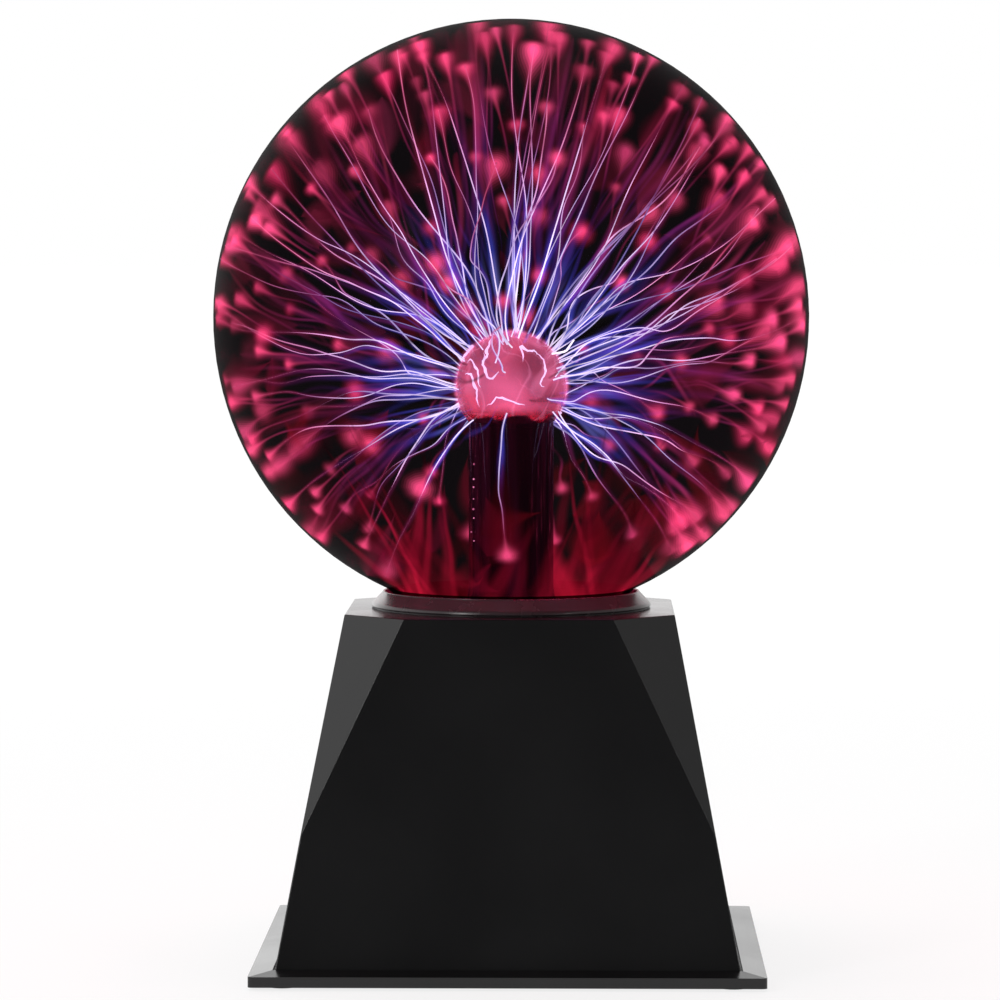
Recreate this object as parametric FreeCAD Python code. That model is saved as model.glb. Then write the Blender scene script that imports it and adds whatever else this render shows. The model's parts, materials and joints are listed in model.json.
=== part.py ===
import FreeCAD, Part
import math
import os
from FreeCAD import Placement, Rotation, Vector

# Plasma ball: an 8 inch glass globe on a faceted pyramid base.
# Millimetres, +Z up, front towards -Y. The origin is on the surface that the feet stand on,
# under the centre of the base.

# ---- driving dimensions: globe ----
GLOBE_R = 101.6
GLOBE_Z = 218.4
GLOBE_WALL = 1.2
NECK_R = 40.0
NECK_FLARE_R = 5.0
NECK_BOTTOM = 104.0

# ---- driving dimensions: stem and electrode ----
BULB_R = 18.8
BULB_Z = 194.7
STEM_R = 14.5
STEM_WALL = 1.5
STEM_FLARE_R = 22.0
STEM_FOOT_RISE = 2.0
FILLING_R = 16.9
FILLING_BOTTOM = 185.2
ROD_R = 1.5
ROD_BOTTOM = 93.0
ROD_TOP = 200.0
LINER_WALL = 1.5
LINER_GAP = 0.3
LINER_TOP = 181.0
PLUG_LOW = 126.0
PLUG_HIGH = 133.0
TIP_X = 33.0
TIP_LOW = 97.0
TIP_R = 2.5

# ---- driving dimensions: base ----
FOOT_PROUD = 1.0
PLATE_HALF = 84.9
PLATE_LIP = 3.5
PLATE_BEVEL_TOP = 5.7
PLATE_FLOOR = 2.5
PLATE_CORNER_R = 1.6
TOWER_LOW_Z = 5.66
TOWER_LOW_HALF = 76.4
TOWER_TOP = 119.4
TOWER_TOP_HALF = 55.4
TOWER_WALL = 2.5
TOWER_ROOF = 3.0
FACET_LEG = 20.6
FACET_FOOT = 48.5
TOWER_EDGE_R = 0.5
GROOVE = 0.8
ROOF_HOLE_R = 46.2
RIB_HEIGHT = 4.5
RIB_THICK = 2.0
RIB_GAP = 0.3
RIB_CLEAR_R = 15.0
POCKET_DEPTH = 0.4
BOARD_POST_R = 3.4
SCREW_SINK = 1.3
SCREW_SINK_R = 3.2
FOOT_SINK = 0.6
BOSS_R = 4.2
BOSS_RIB = 16.0
BOSS_RIB_THICK = 2.0
BOSS_BURIED = 0.8
CLAMP_BOSS_R = 3.4
CLAMP_BOSS_LOW = 113.5
CLAMP_HOLE_TOP = 118.4

# ---- driving dimensions: collar ----
COLLAR_LOW_R = 47.8
COLLAR_TOP_R = 43.9
COLLAR_BORE_R = 43.4
COLLAR_LIP_R = 43.15
COLLAR_TOP = 125.2
COLLAR_GAP = 0.4
COLLAR_BRIM = 0.5
COLLAR_BRIM_RISE = 1.5
COLLAR_UNDERCUT = 0.9
COLLAR_SPIGOT_GAP = 0.2
COLLAR_LEAD_IN = 2.0

# ---- driving dimensions: neck mounting ----
CAP_WALL_R = 42.7
CAP_FLOOR = 101.0
CAP_HOLE_R = 6.0
CAP_TIP_R = 3.6
NECK_FIT = 0.15
FLANGE_R = 51.6
FLANGE_LOW = 113.4
FLANGE_HIGH = 115.4
CLAMP_LOW = 111.0
CLAMP_R = 52.0
CLAMP_EAR_R = 4.4
SEAL_LOW = 117.0
SEAL_HIGH = 122.8
CAP_SEAT_GAP = 0.2
CLAMP_SCREW_LONG = 7.0
CLAMP_HEAD = (2.8, 1.8)

# ---- driving dimensions: fasteners and boards ----
SCREW_R = 1.5
BASE_SCREW_LONG = 18.0
BASE_HEAD = (3.0, 1.2)
BOARD_SCREW_R = 1.25
BOARD_SCREW_LONG = 7.0
BOARD_HEAD = (2.6, 1.6)
BOARD_SCREW_FLOOR = 1.2
BASE_BOSS = 61.0
BASE_BOSS_TOP = 32.0
FOOT_AT = 74.0
FOOT_R = 6.0
BOARD_X = 104.0
BOARD_Y = 76.0
BOARD_THICK = 1.6
BOARD_UNDER = 10.4
BOARD_HOLE_X = 47.0
BOARD_HOLE_Y = 33.0
CLAMP_SCREW_AT = 56.0
SCREW_PLAY = 0.2
CROWN_SHARE = 0.4
DRIVE_SHARE = 0.45
DRIVE_SPAN = 1.1
THREAD_PLAY = 0.05
PCB_CORNER_R = 2.0
PCB_PLAY = 0.1

# ---- driving dimensions: back panel ----
PANEL_Z = 26.0
JACK_X = 26.0
SWITCH_X = -26.0
JACK_R = 5.9
JACK_BORE_R = 2.8
JACK_PIN_R = 1.05
JACK_TAIL_R = 0.8
SWITCH_TRAVEL = 4.0
KNOB_SIZE = 3.8
KNOB_PROUD = 2.6
JACK_DEPTH = 14.0
JACK_BORE_DEPTH = 9.5
JACK_RIM_R = 7.4
JACK_RIM = 1.8
JACK_PIN_PROUD = 0.5
JACK_TAIL = 18.0
SPRING_WIDE = 1.5
SPRING_THICK = 0.4
SPRING_AT = 3.4
NUT_R = 8.0
NUT_THICK = 2.35
PANEL_GAP = 0.05
CAN_LONG = 20.0
CAN_WIDE = 7.4
CAN_DEEP = 5.6
CAN_SHEET = 0.6
CAN_EAR = 0.8
CAN_EARS_LONG = 29.0
SWITCH_SCREW_AT = 12.0
SWITCH_SCREW_R = 1.0
SWITCH_SCREW_LONG = 5.0
SWITCH_HEAD = (1.9, 1.2)
KNOB_SLOT_PLAY = (1.2, 0.8)
CAN_SLOT_PLAY = (0.6, 0.4)
SLIDER_LONG = 12.0
TAG_SPACING = 4.0
TAG_LONG = 3.5
TAG_WIDE = 1.2
TAG_THICK = 0.5
SWITCH_BASE_THICK = 1.2
SLIDER_PLAY = 0.6

# ---- driving dimensions: transformer ----
CORE_X = -14.0
CORE_LEG = 9.0
CORE_WINDOW = 24.0
CORE_HEIGHT = 40.0
CORE_GAP = 0.2
CORE_LIFT = 1.0
CORE_BORE_PLAY = 0.4
BOBBIN_R = 12.5
BOBBIN_BARREL_R = 7.6
BOBBIN_CHEEK = 1.2
COIL_R = 11.8
PRIMARY_R = 7.2
PRIMARY_WIRE_R = 0.55
PRIMARY_TURNS = 9
PRIMARY_PITCH = 1.5

# ---- driving dimensions: power stage ----
SINK_X = 34.0
SINK_THICK = 3.0
SINK_LONG = 30.0
SINK_TALL = 30.0
FIN_DEEP = 9.0
FIN_THICK = 1.2
FIN_SPACING = 4
CASE_WIDE = 10.0
CASE_THICK = 3.2
CASE_TALL = 9.2
TAB_THICK = 1.3
TAB_TALL = 15.4
TAB_HOLE = 12.5
CASE_RISE = 8.0
PIN_SPACING = 2.54
LEG_WIDE = 0.8
LEG_THICK = 0.5
TAB_SCREW_LONG = 5.2
TAB_HEAD = (2.7, 1.7)

# ---- driving dimensions: small board parts ----
CAN_LIFT = 0.2
CAN_EDGE_R = 0.6
WAIST_R = 0.7
WAIST_AT = 2.4
WAIST_INSET = 0.35
RESISTOR_R = 1.2
RESISTOR_LONG = 6.4
RESISTOR_WIRE_R = 0.3
RESISTOR_SPAN = 9.8
RESISTOR_LIFT = 2.0
CHIP_LONG = 9.8
CHIP_WIDE = 6.4
CHIP_LIFT = 0.8
CHIP_TALL = 3.4
CHIP_ROW = 3.5
CHIP_PIN_WIDE = 1.2
CHIP_PIN_DEEP = 0.6
MIC_R = 4.8
MIC_TALL = 5.0
MIC_HOLE_R = 1.0
MIC_HOLE_DEEP = 0.8
HEADER_LONG = 7.5
HEADER_WIDE = 5.0
HEADER_TALL = 6.0
FILM_LONG = 13.0
FILM_WIDE = 6.0
FILM_TALL = 11.0
FILM_AT = 14.0
FILM_EDGE_R = 0.8
CAN_SPOTS = [(16.0, -24.0, 6.5, 20.0), (32.0, -26.0, 4.0, 11.0), (2.0, -26.0, 4.0, 11.0)]
RESISTOR_SPOTS = [
    (-36, -22, True),
    (-32, -22, True),
    (-28, -22, True),
    (-12, -20, False),
    (-12, -25, False),
    (2, 24, False),
    (2, 29, False),
]
CHIP_SPOT = (-14.0, -31.0)
MIC_SPOT = (-42.0, 20.0)
HEADER_SPOTS = [(28.0, 31.0), (-28.0, 31.0)]

# ---- driving dimensions: wiring ----
CABLE_R = 1.6
CABLE_CORE_R = 0.6
CABLE_STRAND_LONG = 2.6
CABLE_END_Z = 97.0
TERMINAL_R = 4.0
TERMINAL_LOW = 93.5
TERMINAL_HIGH = 100.0
LEAD_R = 0.8
BEND_SHARE = 0.45
HV_ROUTE = [
    (-30.5, 12.4, 33.0),
    (-30.5, 24.0, 35.0),
    (-27.0, 35.0, 47.0),
    (-17.0, 38.0, 62.0),
    (-7.0, 36.0, 77.0),
    (-1.0, 28.0, 92.0),
    (0.0, 16.0, 97.2),
    (0.0, 4.1, 97.0),
]
RED_ROUTE = [
    (26.0, 54.8, 22.6),
    (26.0, 47.0, 22.4),
    (26.4, 39.0, 27.0),
    (26.6, 31.8, 26.0),
    (26.5, 31.0, 18.3),
]
BLACK_ROUTE = [
    (26.0, 53.9, 26.0),
    (26.8, 46.5, 27.5),
    (29.0, 39.0, 32.5),
    (29.8, 32.0, 30.0),
    (29.5, 31.0, 18.3),
]
SWITCH_ROUTE_A = [
    (-24.0, 61.2, 23.8),
    (-24.2, 52.0, 23.0),
    (-25.5, 42.0, 28.5),
    (-26.3, 32.2, 27.0),
    (-26.5, 31.0, 18.3),
]
SWITCH_ROUTE_B = [
    (-28.0, 61.2, 23.8),
    (-28.3, 52.0, 22.0),
    (-28.8, 42.0, 26.5),
    (-29.3, 32.2, 25.5),
    (-29.5, 31.0, 18.3),
]

SMALL_GAP = 0.1
WELD_GAP = 0.02
SMALL_FILLET = 0.4
TINY = 1e-3
ROD_PLAY = 0.05
WALL_SLOPE = (TOWER_LOW_HALF - TOWER_TOP_HALF) / (TOWER_TOP - TOWER_LOW_Z)
WALL_LEAN = math.atan(WALL_SLOPE)
PLATE_Z = FOOT_PROUD
SEAT_Z = PLATE_Z + PLATE_FLOOR
BOARD_TOP = BOARD_UNDER + BOARD_THICK
UP = Vector(0, 0, 1)
ALONG_X = Vector(1, 0, 0)
ALONG_Y = Vector(0, 1, 0)
CORNERS = [(1, 1), (-1, 1), (-1, -1), (1, -1)]

nodes = {}


# ---- small shape helpers ----
def cylinder(radius, low, high, x=0.0, y=0.0):
    return Part.makeCylinder(radius, high - low, Vector(x, y, low))


def tube(outer, inner, low, high, x=0.0, y=0.0):
    return cylinder(outer, low, high, x, y).cut(cylinder(inner, low, high, x, y))


def block(width, depth, low, high, x=0.0, y=0.0):
    corner = Vector(x - width / 2, y - depth / 2, low)
    return Part.makeBox(width, depth, high - low, corner)


def soft_block(width, depth, low, high, x=0.0, y=0.0, radius=0.5):
    shape = block(width, depth, low, high, x, y)
    return shape.makeFillet(radius, shape.Edges)


def fuse(shapes):
    whole = shapes[0]
    for shape in shapes[1:]:
        whole = whole.fuse(shape)
    return whole.removeSplitter()


def group(shapes):
    return Part.makeCompound(shapes)


def spun(edges):
    """A closed outline in the XZ plane, turned about the Z axis."""
    face = Part.Face(Part.Wire(Part.__sortEdges__(edges)))
    return face.revolve(Vector(0, 0, 0), UP, 360)


def in_xz(radius, height):
    return Vector(radius, 0, height)


def line(a, b):
    return Part.makeLine(in_xz(*a), in_xz(*b))


def arc(a, through, b):
    return Part.Arc(in_xz(*a), in_xz(*through), in_xz(*b)).toShape()


def on_circle(centre, radius, angle):
    return (
        centre[0] + radius * math.cos(angle),
        centre[1] + radius * math.sin(angle),
    )


def on_panel(shape, x):
    """Moves a shape drawn about the origin onto the back wall.

    Drawn +Z becomes the wall's outward normal, +Y runs up the wall and +X points to -X.
    """
    at = Vector(x, half_width(PANEL_Z), PANEL_Z)
    tilt = Rotation(ALONG_X, math.degrees(WALL_LEAN) - 90)
    placed = shape.copy()
    placed.Placement = Placement(at, tilt.multiply(Rotation(UP, 180)))
    return placed


# ---- tower outline ----
def half_width(z):
    """Half the width of the tower's outside at a height."""
    return TOWER_LOW_HALF - (z - TOWER_LOW_Z) * WALL_SLOPE


def facet_leg(z, inset):
    """How much of each corner the facet cuts away at a height, along either wall."""
    rise = (z - FACET_FOOT) / (TOWER_TOP - FACET_FOOT)
    return FACET_LEG * rise - (2 - math.sqrt(2)) * inset


def facet_foot(inset):
    """The height at which the facet runs out on the corner edge."""
    share = (2 - math.sqrt(2)) * inset / FACET_LEG
    return FACET_FOOT + share * (TOWER_TOP - FACET_FOOT)


def tower_block(inset, low, high):
    """The tower's faceted pyramid between two heights, with every wall moved in by inset."""
    low_half = half_width(low) - inset
    foot_z = facet_foot(inset)
    foot_half = half_width(foot_z) - inset
    top_half = half_width(high) - inset
    top_short = top_half - facet_leg(high, inset)
    faces = []
    low_ring = [Vector(sx * low_half, sy * low_half, low) for sx, sy in CORNERS]
    foot_ring = [Vector(sx * foot_half, sy * foot_half, foot_z) for sx, sy in CORNERS]
    top_ring = []
    for sx, sy in CORNERS:
        along_x = Vector(sx * top_short, sy * top_half, high)
        along_y = Vector(sx * top_half, sy * top_short, high)
        top_ring.append((along_y, along_x) if sx * sy > 0 else (along_x, along_y))
    for i in range(4):
        j = (i + 1) % 4
        wall = [low_ring[i], low_ring[j], foot_ring[j], top_ring[j][0], top_ring[i][1], foot_ring[i]]
        faces.append(wall)
        faces.append([foot_ring[i], top_ring[i][0], top_ring[i][1]])
    faces.append(low_ring)
    faces.append([point for pair in top_ring for point in pair])
    made = [Part.Face(Part.makePolygon(ring + ring[:1])) for ring in faces]
    solid = Part.makeSolid(Part.makeShell(made))
    if solid.Volume < 0:
        solid.reverse()
    return solid


# ---- screws ----
def pan_screw(x, y, head_z, length, radius, head, up=True):
    """A screw whose head bears at head_z, its shank going up or down; head is (radius, height)."""
    head_r, head_h = head
    sign = 1 if up else -1
    base = Vector(x, y, head_z)
    crown_z = head_z - sign * head_h
    crown = Part.makeCylinder(head_r, head_h, base, Vector(0, 0, -sign))
    crown = crown.makeFillet(head_h * CROWN_SHARE, [outer_rim(crown, crown_z, head_r)])
    shank = Part.makeCylinder(radius, length, base, Vector(0, 0, sign))
    slot_depth = head_h * DRIVE_SHARE
    arm = head_r * DRIVE_SPAN
    lowest = min(crown_z, crown_z + sign * slot_depth)
    cross = block(arm, arm / 4, lowest, lowest + slot_depth, x, y)
    cross = cross.fuse(block(arm / 4, arm, lowest, lowest + slot_depth, x, y))
    return crown.fuse(shank).removeSplitter().cut(cross)


def outer_rim(shape, z, radius):
    """The circular edge of a given radius at a height."""
    for edge in shape.Edges:
        box = edge.BoundBox
        level = abs(box.ZMin - z) < TINY and abs(box.ZMax - z) < TINY
        if level and edge.Closed and abs(box.XLength - 2 * radius) < TINY:
            return edge
    raise ValueError("no rim of this radius at this height")


# ---- leads and cables ----
def lead_path(points, radius):
    """Straight runs joined by tangent arcs, each as large as its two runs allow."""
    edges = []
    last = points[0]
    radii = []
    for before, corner, after in zip(points, points[1:], points[2:]):
        run_in = corner - before
        run_out = after - corner
        reach = BEND_SHARE * min(run_in.Length, run_out.Length)
        turn = run_in.getAngle(run_out)
        bend = reach / math.tan(turn / 2)
        into = Vector(run_in).normalize()
        out = Vector(run_out).normalize()
        start = corner - into * reach
        end = corner + out * reach
        inward = (out - into).normalize()
        centre = corner + inward * (bend / math.cos(turn / 2))
        middle = centre - inward * bend
        edges.append(Part.LineSegment(last, start).toShape())
        edges.append(Part.Arc(start, middle, end).toShape())
        last = end
        radii.append(round(bend, 1))
    edges.append(Part.LineSegment(last, points[-1]).toShape())
    return Part.Wire(edges), radii


def lead(name, points, radius):
    """A round lead along a route of (x, y, z) points."""
    route = [Vector(*point) for point in points]
    path, radii = lead_path(route, radius)
    start = Part.Circle(route[0], route[1] - route[0], radius).toShape()
    solid = path.makePipeShell([Part.Wire(start)], True, True)
    expected = math.pi * radius**2 * path.Length
    share = round(solid.Volume / expected, 4)
    print(name, "length", round(path.Length, 1), "bend radii", radii, "volume share", share)
    return solid


# ---- globe assembly ----
def neck_centre():
    """Centre of the arc that joins the sphere to the neck, as (radius, height)."""
    radius = NECK_R + NECK_FLARE_R
    reach = GLOBE_R + NECK_FLARE_R
    return (radius, GLOBE_Z - math.sqrt(reach**2 - radius**2))


def globe_side(wall):
    """The globe's outline from pole to neck, moved in by wall: edges and the neck radius."""
    sphere_r = GLOBE_R - wall
    flare_r = NECK_FLARE_R + wall
    neck_r = NECK_R - wall
    flare = neck_centre()
    towards = math.atan2(flare[1] - GLOBE_Z, flare[0])
    meet = on_circle((0, GLOBE_Z), sphere_r, towards)
    pole = (0, GLOBE_Z + sphere_r)
    side = on_circle((0, GLOBE_Z), sphere_r, (towards + math.pi / 2) / 2)
    neck_top = (neck_r, flare[1])
    flare_mid = on_circle(flare, flare_r, (towards + 2 * math.pi) / 2)
    low = (neck_r, NECK_BOTTOM)
    edges = [arc(pole, side, meet), arc(meet, flare_mid, neck_top), line(neck_top, low)]
    return edges, pole, low


def glass_globe():
    outer, outer_pole, outer_low = globe_side(0.0)
    inner, inner_pole, inner_low = globe_side(GLOBE_WALL)
    return spun(outer + inner + [line(outer_pole, inner_pole), line(outer_low, inner_low)])


def stem_side(wall):
    """The stem's outline from the bulb's pole to the flare's edge, moved in by wall."""
    bulb_r = BULB_R - wall
    tube_r = STEM_R - wall
    flare_r = STEM_FLARE_R + wall
    join_z = BULB_Z - math.sqrt(bulb_r**2 - tube_r**2)
    flare = (STEM_R + STEM_FLARE_R, NECK_BOTTOM + STEM_FOOT_RISE + STEM_FLARE_R)
    pole = (0, BULB_Z + bulb_r)
    join = (tube_r, join_z)
    flare_top = (tube_r, flare[1])
    flare_low = (flare[0], flare[1] - flare_r)
    edge = (NECK_R - GLOBE_WALL - WELD_GAP, flare_low[1])
    edges = [
        arc(pole, (bulb_r, BULB_Z), join),
        line(join, flare_top),
        arc(flare_top, on_circle(flare, flare_r, 1.25 * math.pi), flare_low),
        line(flare_low, edge),
    ]
    return edges, pole, edge


def stem_tube():
    """The inner glass, with the sealed tip through which the globe was pumped."""
    outer, outer_pole, outer_edge = stem_side(0.0)
    inner, inner_pole, inner_edge = stem_side(STEM_WALL)
    glass = spun(outer + inner + [line(outer_pole, inner_pole), line(outer_edge, inner_edge)])
    tip = cylinder(TIP_R, TIP_LOW, NECK_BOTTOM + STEM_FOOT_RISE - LINER_GAP, TIP_X)
    end = Part.makeSphere(TIP_R, Vector(TIP_X, 0, TIP_LOW))
    return fuse([glass, tip, end])


def electrode_parts():
    nodes["electrode_filling"] = (
        Part.makeSphere(FILLING_R, Vector(0, 0, BULB_Z))
        .cut(cylinder(BULB_R, BULB_Z - BULB_R, FILLING_BOTTOM))
        .cut(cylinder(ROD_R + ROD_PLAY, FILLING_BOTTOM - 1, ROD_TOP + SMALL_GAP))
    )
    nodes["electrode_rod"] = cylinder(ROD_R, ROD_BOTTOM, ROD_TOP)
    liner_r = STEM_R - STEM_WALL - LINER_GAP
    nodes["stem_plug"] = tube(liner_r, ROD_R + ROD_PLAY, PLUG_LOW, PLUG_HIGH)
    nodes["stem_liner"] = tube(liner_r, liner_r - LINER_WALL, PLUG_HIGH, LINER_TOP)
    lug_hole = Part.makeCylinder(CABLE_CORE_R, TERMINAL_R + 1, Vector(0, 0, CABLE_END_Z), ALONG_Y)
    terminal = tube(TERMINAL_R, ROD_R + ROD_PLAY, TERMINAL_LOW, TERMINAL_HIGH)
    nodes["rod_terminal"] = terminal.cut(lug_hole)


# ---- neck mounting ----
def neck_parts():
    cap_top = NECK_BOTTOM - CAP_SEAT_GAP
    cap = fuse([
        tube(CAP_WALL_R, NECK_R + NECK_FIT, cap_top, FLANGE_HIGH),
        tube(FLANGE_R, NECK_R + NECK_FIT, FLANGE_LOW, FLANGE_HIGH),
        tube(CAP_WALL_R, CAP_HOLE_R, CAP_FLOOR, cap_top),
    ])
    nodes["neck_cap"] = cap.cut(cylinder(CAP_TIP_R, CAP_FLOOR - 1, NECK_BOTTOM, TIP_X))
    nodes["flange_gasket"] = tube(FLANGE_R, COLLAR_BORE_R, FLANGE_HIGH, TOWER_TOP - TOWER_ROOF)
    ears = [cylinder(CLAMP_EAR_R, CLAMP_LOW, FLANGE_LOW, x, y) for x, y in clamp_points()]
    ring = fuse([cylinder(CLAMP_R, CLAMP_LOW, FLANGE_LOW)] + ears)
    ring = ring.cut(cylinder(CAP_WALL_R + RIB_GAP, CLAMP_LOW, FLANGE_LOW))
    for x, y in clamp_points():
        ring = ring.cut(cylinder(SCREW_R + SCREW_PLAY, CLAMP_LOW, FLANGE_LOW, x, y))
    nodes["clamp_ring"] = ring
    nodes["clamp_screws"] = group(
        [pan_screw(x, y, CLAMP_LOW, CLAMP_SCREW_LONG, SCREW_R, CLAMP_HEAD) for x, y in clamp_points()]
    )
    nodes["neck_seal"] = tube(COLLAR_BORE_R - PANEL_GAP, NECK_R + NECK_FIT, SEAL_LOW, SEAL_HIGH)


def clamp_points():
    reach = CLAMP_SCREW_AT / math.sqrt(2)
    return [(sx * reach, sy * reach) for sx, sy in CORNERS]


def collar_ring():
    """The low cone round the neck, with a spigot that centres it in the roof's hole."""
    foot_z = TOWER_TOP + COLLAR_GAP
    roof_low = TOWER_TOP - TOWER_ROOF
    spigot_r = ROOF_HOLE_R - COLLAR_SPIGOT_GAP
    lip_mid = (COLLAR_LIP_R + COLLAR_TOP_R) / 2
    lip_z = COLLAR_TOP - (COLLAR_TOP_R - COLLAR_LIP_R) / 2
    brim_z = foot_z + COLLAR_BRIM
    undercut_r = COLLAR_LOW_R - COLLAR_UNDERCUT
    brim_foot_r = COLLAR_LOW_R - COLLAR_BRIM
    brim_mid = on_circle((brim_foot_r, brim_z), COLLAR_BRIM, -math.pi / 4)
    slope_foot = (COLLAR_LOW_R - COLLAR_BRIM_RISE / 1.5, brim_z + COLLAR_BRIM_RISE)
    shoulder_mid = (COLLAR_LOW_R - COLLAR_BRIM * 0.7, brim_z + COLLAR_BRIM_RISE * 0.57)
    return spun([
        line((COLLAR_BORE_R, roof_low), (spigot_r, roof_low)),
        line((spigot_r, roof_low), (spigot_r, TOWER_TOP)),
        line((spigot_r, TOWER_TOP), (undercut_r, TOWER_TOP)),
        line((undercut_r, TOWER_TOP), (undercut_r, foot_z)),
        line((undercut_r, foot_z), (brim_foot_r, foot_z)),
        arc((brim_foot_r, foot_z), brim_mid, (COLLAR_LOW_R, brim_z)),
        arc((COLLAR_LOW_R, brim_z), shoulder_mid, slope_foot),
        line(slope_foot, (COLLAR_TOP_R, lip_z)),
        arc((COLLAR_TOP_R, lip_z), (lip_mid, COLLAR_TOP), (COLLAR_LIP_R, lip_z)),
        line((COLLAR_LIP_R, lip_z), (COLLAR_BORE_R, lip_z - COLLAR_LEAD_IN)),
        line((COLLAR_BORE_R, lip_z - COLLAR_LEAD_IN), (COLLAR_BORE_R, roof_low)),
    ])


# ---- base ----
def foot_plate():
    """The square plate: a lip, a shallow bevel, a pocket for the tower and posts for the board."""
    top_half = half_width(PLATE_BEVEL_TOP) + GROOVE
    lip_top = PLATE_Z + PLATE_LIP
    low = Part.makePolygon(square(PLATE_HALF, lip_top))
    high = Part.makePolygon(square(top_half, PLATE_BEVEL_TOP))
    bevel = Part.makeLoft([low, high], True, True)
    plate = block(2 * PLATE_HALF, 2 * PLATE_HALF, PLATE_Z, lip_top).fuse(bevel).removeSplitter()
    plate = plate.common(rounded_slab(PLATE_HALF, PLATE_CORNER_R, PLATE_Z, PLATE_BEVEL_TOP))
    pocket_half = half_width(SEAT_Z) + SMALL_GAP
    plate = plate.cut(block(2 * top_half, 2 * top_half, lip_top - POCKET_DEPTH, PLATE_BEVEL_TOP))
    plate = plate.cut(block(2 * pocket_half, 2 * pocket_half, SEAT_Z, lip_top))
    plate = plate.fuse(locating_rib())
    for x, y in corner_points(BOARD_HOLE_X, BOARD_HOLE_Y):
        plate = plate.fuse(cylinder(BOARD_POST_R, SEAT_Z, BOARD_UNDER, x, y))
    plate = plate.removeSplitter()
    for x, y in corner_points(BOARD_HOLE_X, BOARD_HOLE_Y):
        pilot_low = PLATE_Z + BOARD_SCREW_FLOOR
        plate = plate.cut(cylinder(SCREW_R - SCREW_PLAY, pilot_low, BOARD_UNDER, x, y))
    for x, y in corner_points(BASE_BOSS, BASE_BOSS):
        plate = plate.cut(cylinder(SCREW_R + SCREW_PLAY, PLATE_Z, SEAT_Z, x, y))
        plate = plate.cut(cylinder(SCREW_SINK_R, PLATE_Z, PLATE_Z + SCREW_SINK, x, y))
    for x, y in corner_points(FOOT_AT, FOOT_AT):
        plate = plate.cut(cylinder(FOOT_R + SMALL_GAP, PLATE_Z, PLATE_Z + FOOT_SINK, x, y))
    return plate


def locating_rib():
    """The square rib inside the tower's walls, broken at the four screw bosses."""
    top = SEAT_Z + RIB_HEIGHT
    outer = 2 * (half_width(top) - TOWER_WALL - RIB_GAP)
    inner = outer - 2 * RIB_THICK
    rib = block(outer, outer, SEAT_Z, top).cut(block(inner, inner, SEAT_Z, top))
    for x, y in corner_points(BASE_BOSS, BASE_BOSS):
        rib = rib.cut(cylinder(RIB_CLEAR_R, SEAT_Z, top, x, y))
    return rib


def corner_points(x, y):
    return [(sx * x, sy * y) for sx, sy in CORNERS]


def square(half, z):
    ring = [Vector(x, y, z) for x, y in corner_points(half, half)]
    return ring + ring[:1]


def rounded_slab(half, radius, low, high):
    slab = block(2 * half, 2 * half, low, high)
    upright = [edge for edge in slab.Edges if edge.BoundBox.ZLength > high - low - 0.01]
    return slab.makeFillet(radius, upright)


def rubber_feet():
    feet = []
    for x, y in corner_points(FOOT_AT, FOOT_AT):
        foot = cylinder(FOOT_R, 0.0, PLATE_Z + FOOT_SINK, x, y)
        feet.append(foot.makeFillet(SMALL_FILLET, [outer_rim(foot, 0.0, FOOT_R)]))
    return group(feet)


def tower_shell():
    """The moulded tower: four walls, four corner facets, a roof and its screw bosses."""
    inside = tower_block(TOWER_WALL, SEAT_Z, TOWER_TOP - TOWER_ROOF)
    shell = rounded_tower().cut(inside)
    shell = shell.cut(cylinder(ROOF_HOLE_R, TOWER_TOP - 2 * TOWER_ROOF, TOWER_TOP + 1))
    roof_middle = TOWER_TOP - TOWER_ROOF / 2
    bosses = [base_boss(sx, sy) for sx, sy in CORNERS]
    bosses += [cylinder(CLAMP_BOSS_R, CLAMP_BOSS_LOW, roof_middle, x, y) for x, y in clamp_points()]
    shell = fuse([shell] + bosses)
    for x, y in corner_points(BASE_BOSS, BASE_BOSS):
        shell = shell.cut(cylinder(SCREW_R + THREAD_PLAY, SEAT_Z - 1, BASE_BOSS_TOP - 3, x, y))
    for x, y in clamp_points():
        shell = shell.cut(cylinder(SCREW_R + THREAD_PLAY, CLAMP_LOW, CLAMP_HOLE_TOP, x, y))
    jack_hole = Part.makeCylinder(JACK_R + SMALL_GAP, JACK_DEPTH, Vector(0, 0, -JACK_DEPTH / 2))
    shell = shell.cut(on_panel(jack_hole, JACK_X))
    return shell.cut(on_panel(switch_slot(), SWITCH_X))


def base_boss(sx, sy):
    """One corner's screw post, tied to the two walls by ribs."""
    x = sx * BASE_BOSS
    y = sy * BASE_BOSS
    reach = BOSS_RIB / 2
    post = cylinder(BOSS_R, SEAT_Z, BASE_BOSS_TOP, x, y)
    rib_x = block(BOSS_RIB, BOSS_RIB_THICK, SEAT_Z, BASE_BOSS_TOP, x + sx * reach, y)
    rib_y = block(BOSS_RIB_THICK, BOSS_RIB, SEAT_Z, BASE_BOSS_TOP, x, y + sy * reach)
    return fuse([post, rib_x, rib_y]).common(tower_block(BOSS_BURIED, SEAT_Z, TOWER_TOP - 1))


def rounded_tower():
    """The tower's outside with its sharp edges eased."""
    body = tower_block(0.0, SEAT_Z, TOWER_TOP)
    eased = [edge for edge in body.Edges if edge.BoundBox.ZMax > SEAT_Z + 1]
    return body.makeFillet(TOWER_EDGE_R, eased)


def base_screws():
    points = corner_points(BASE_BOSS, BASE_BOSS)
    head_z = PLATE_Z + SCREW_SINK
    return group([pan_screw(x, y, head_z, BASE_SCREW_LONG, SCREW_R, BASE_HEAD) for x, y in points])


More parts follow.
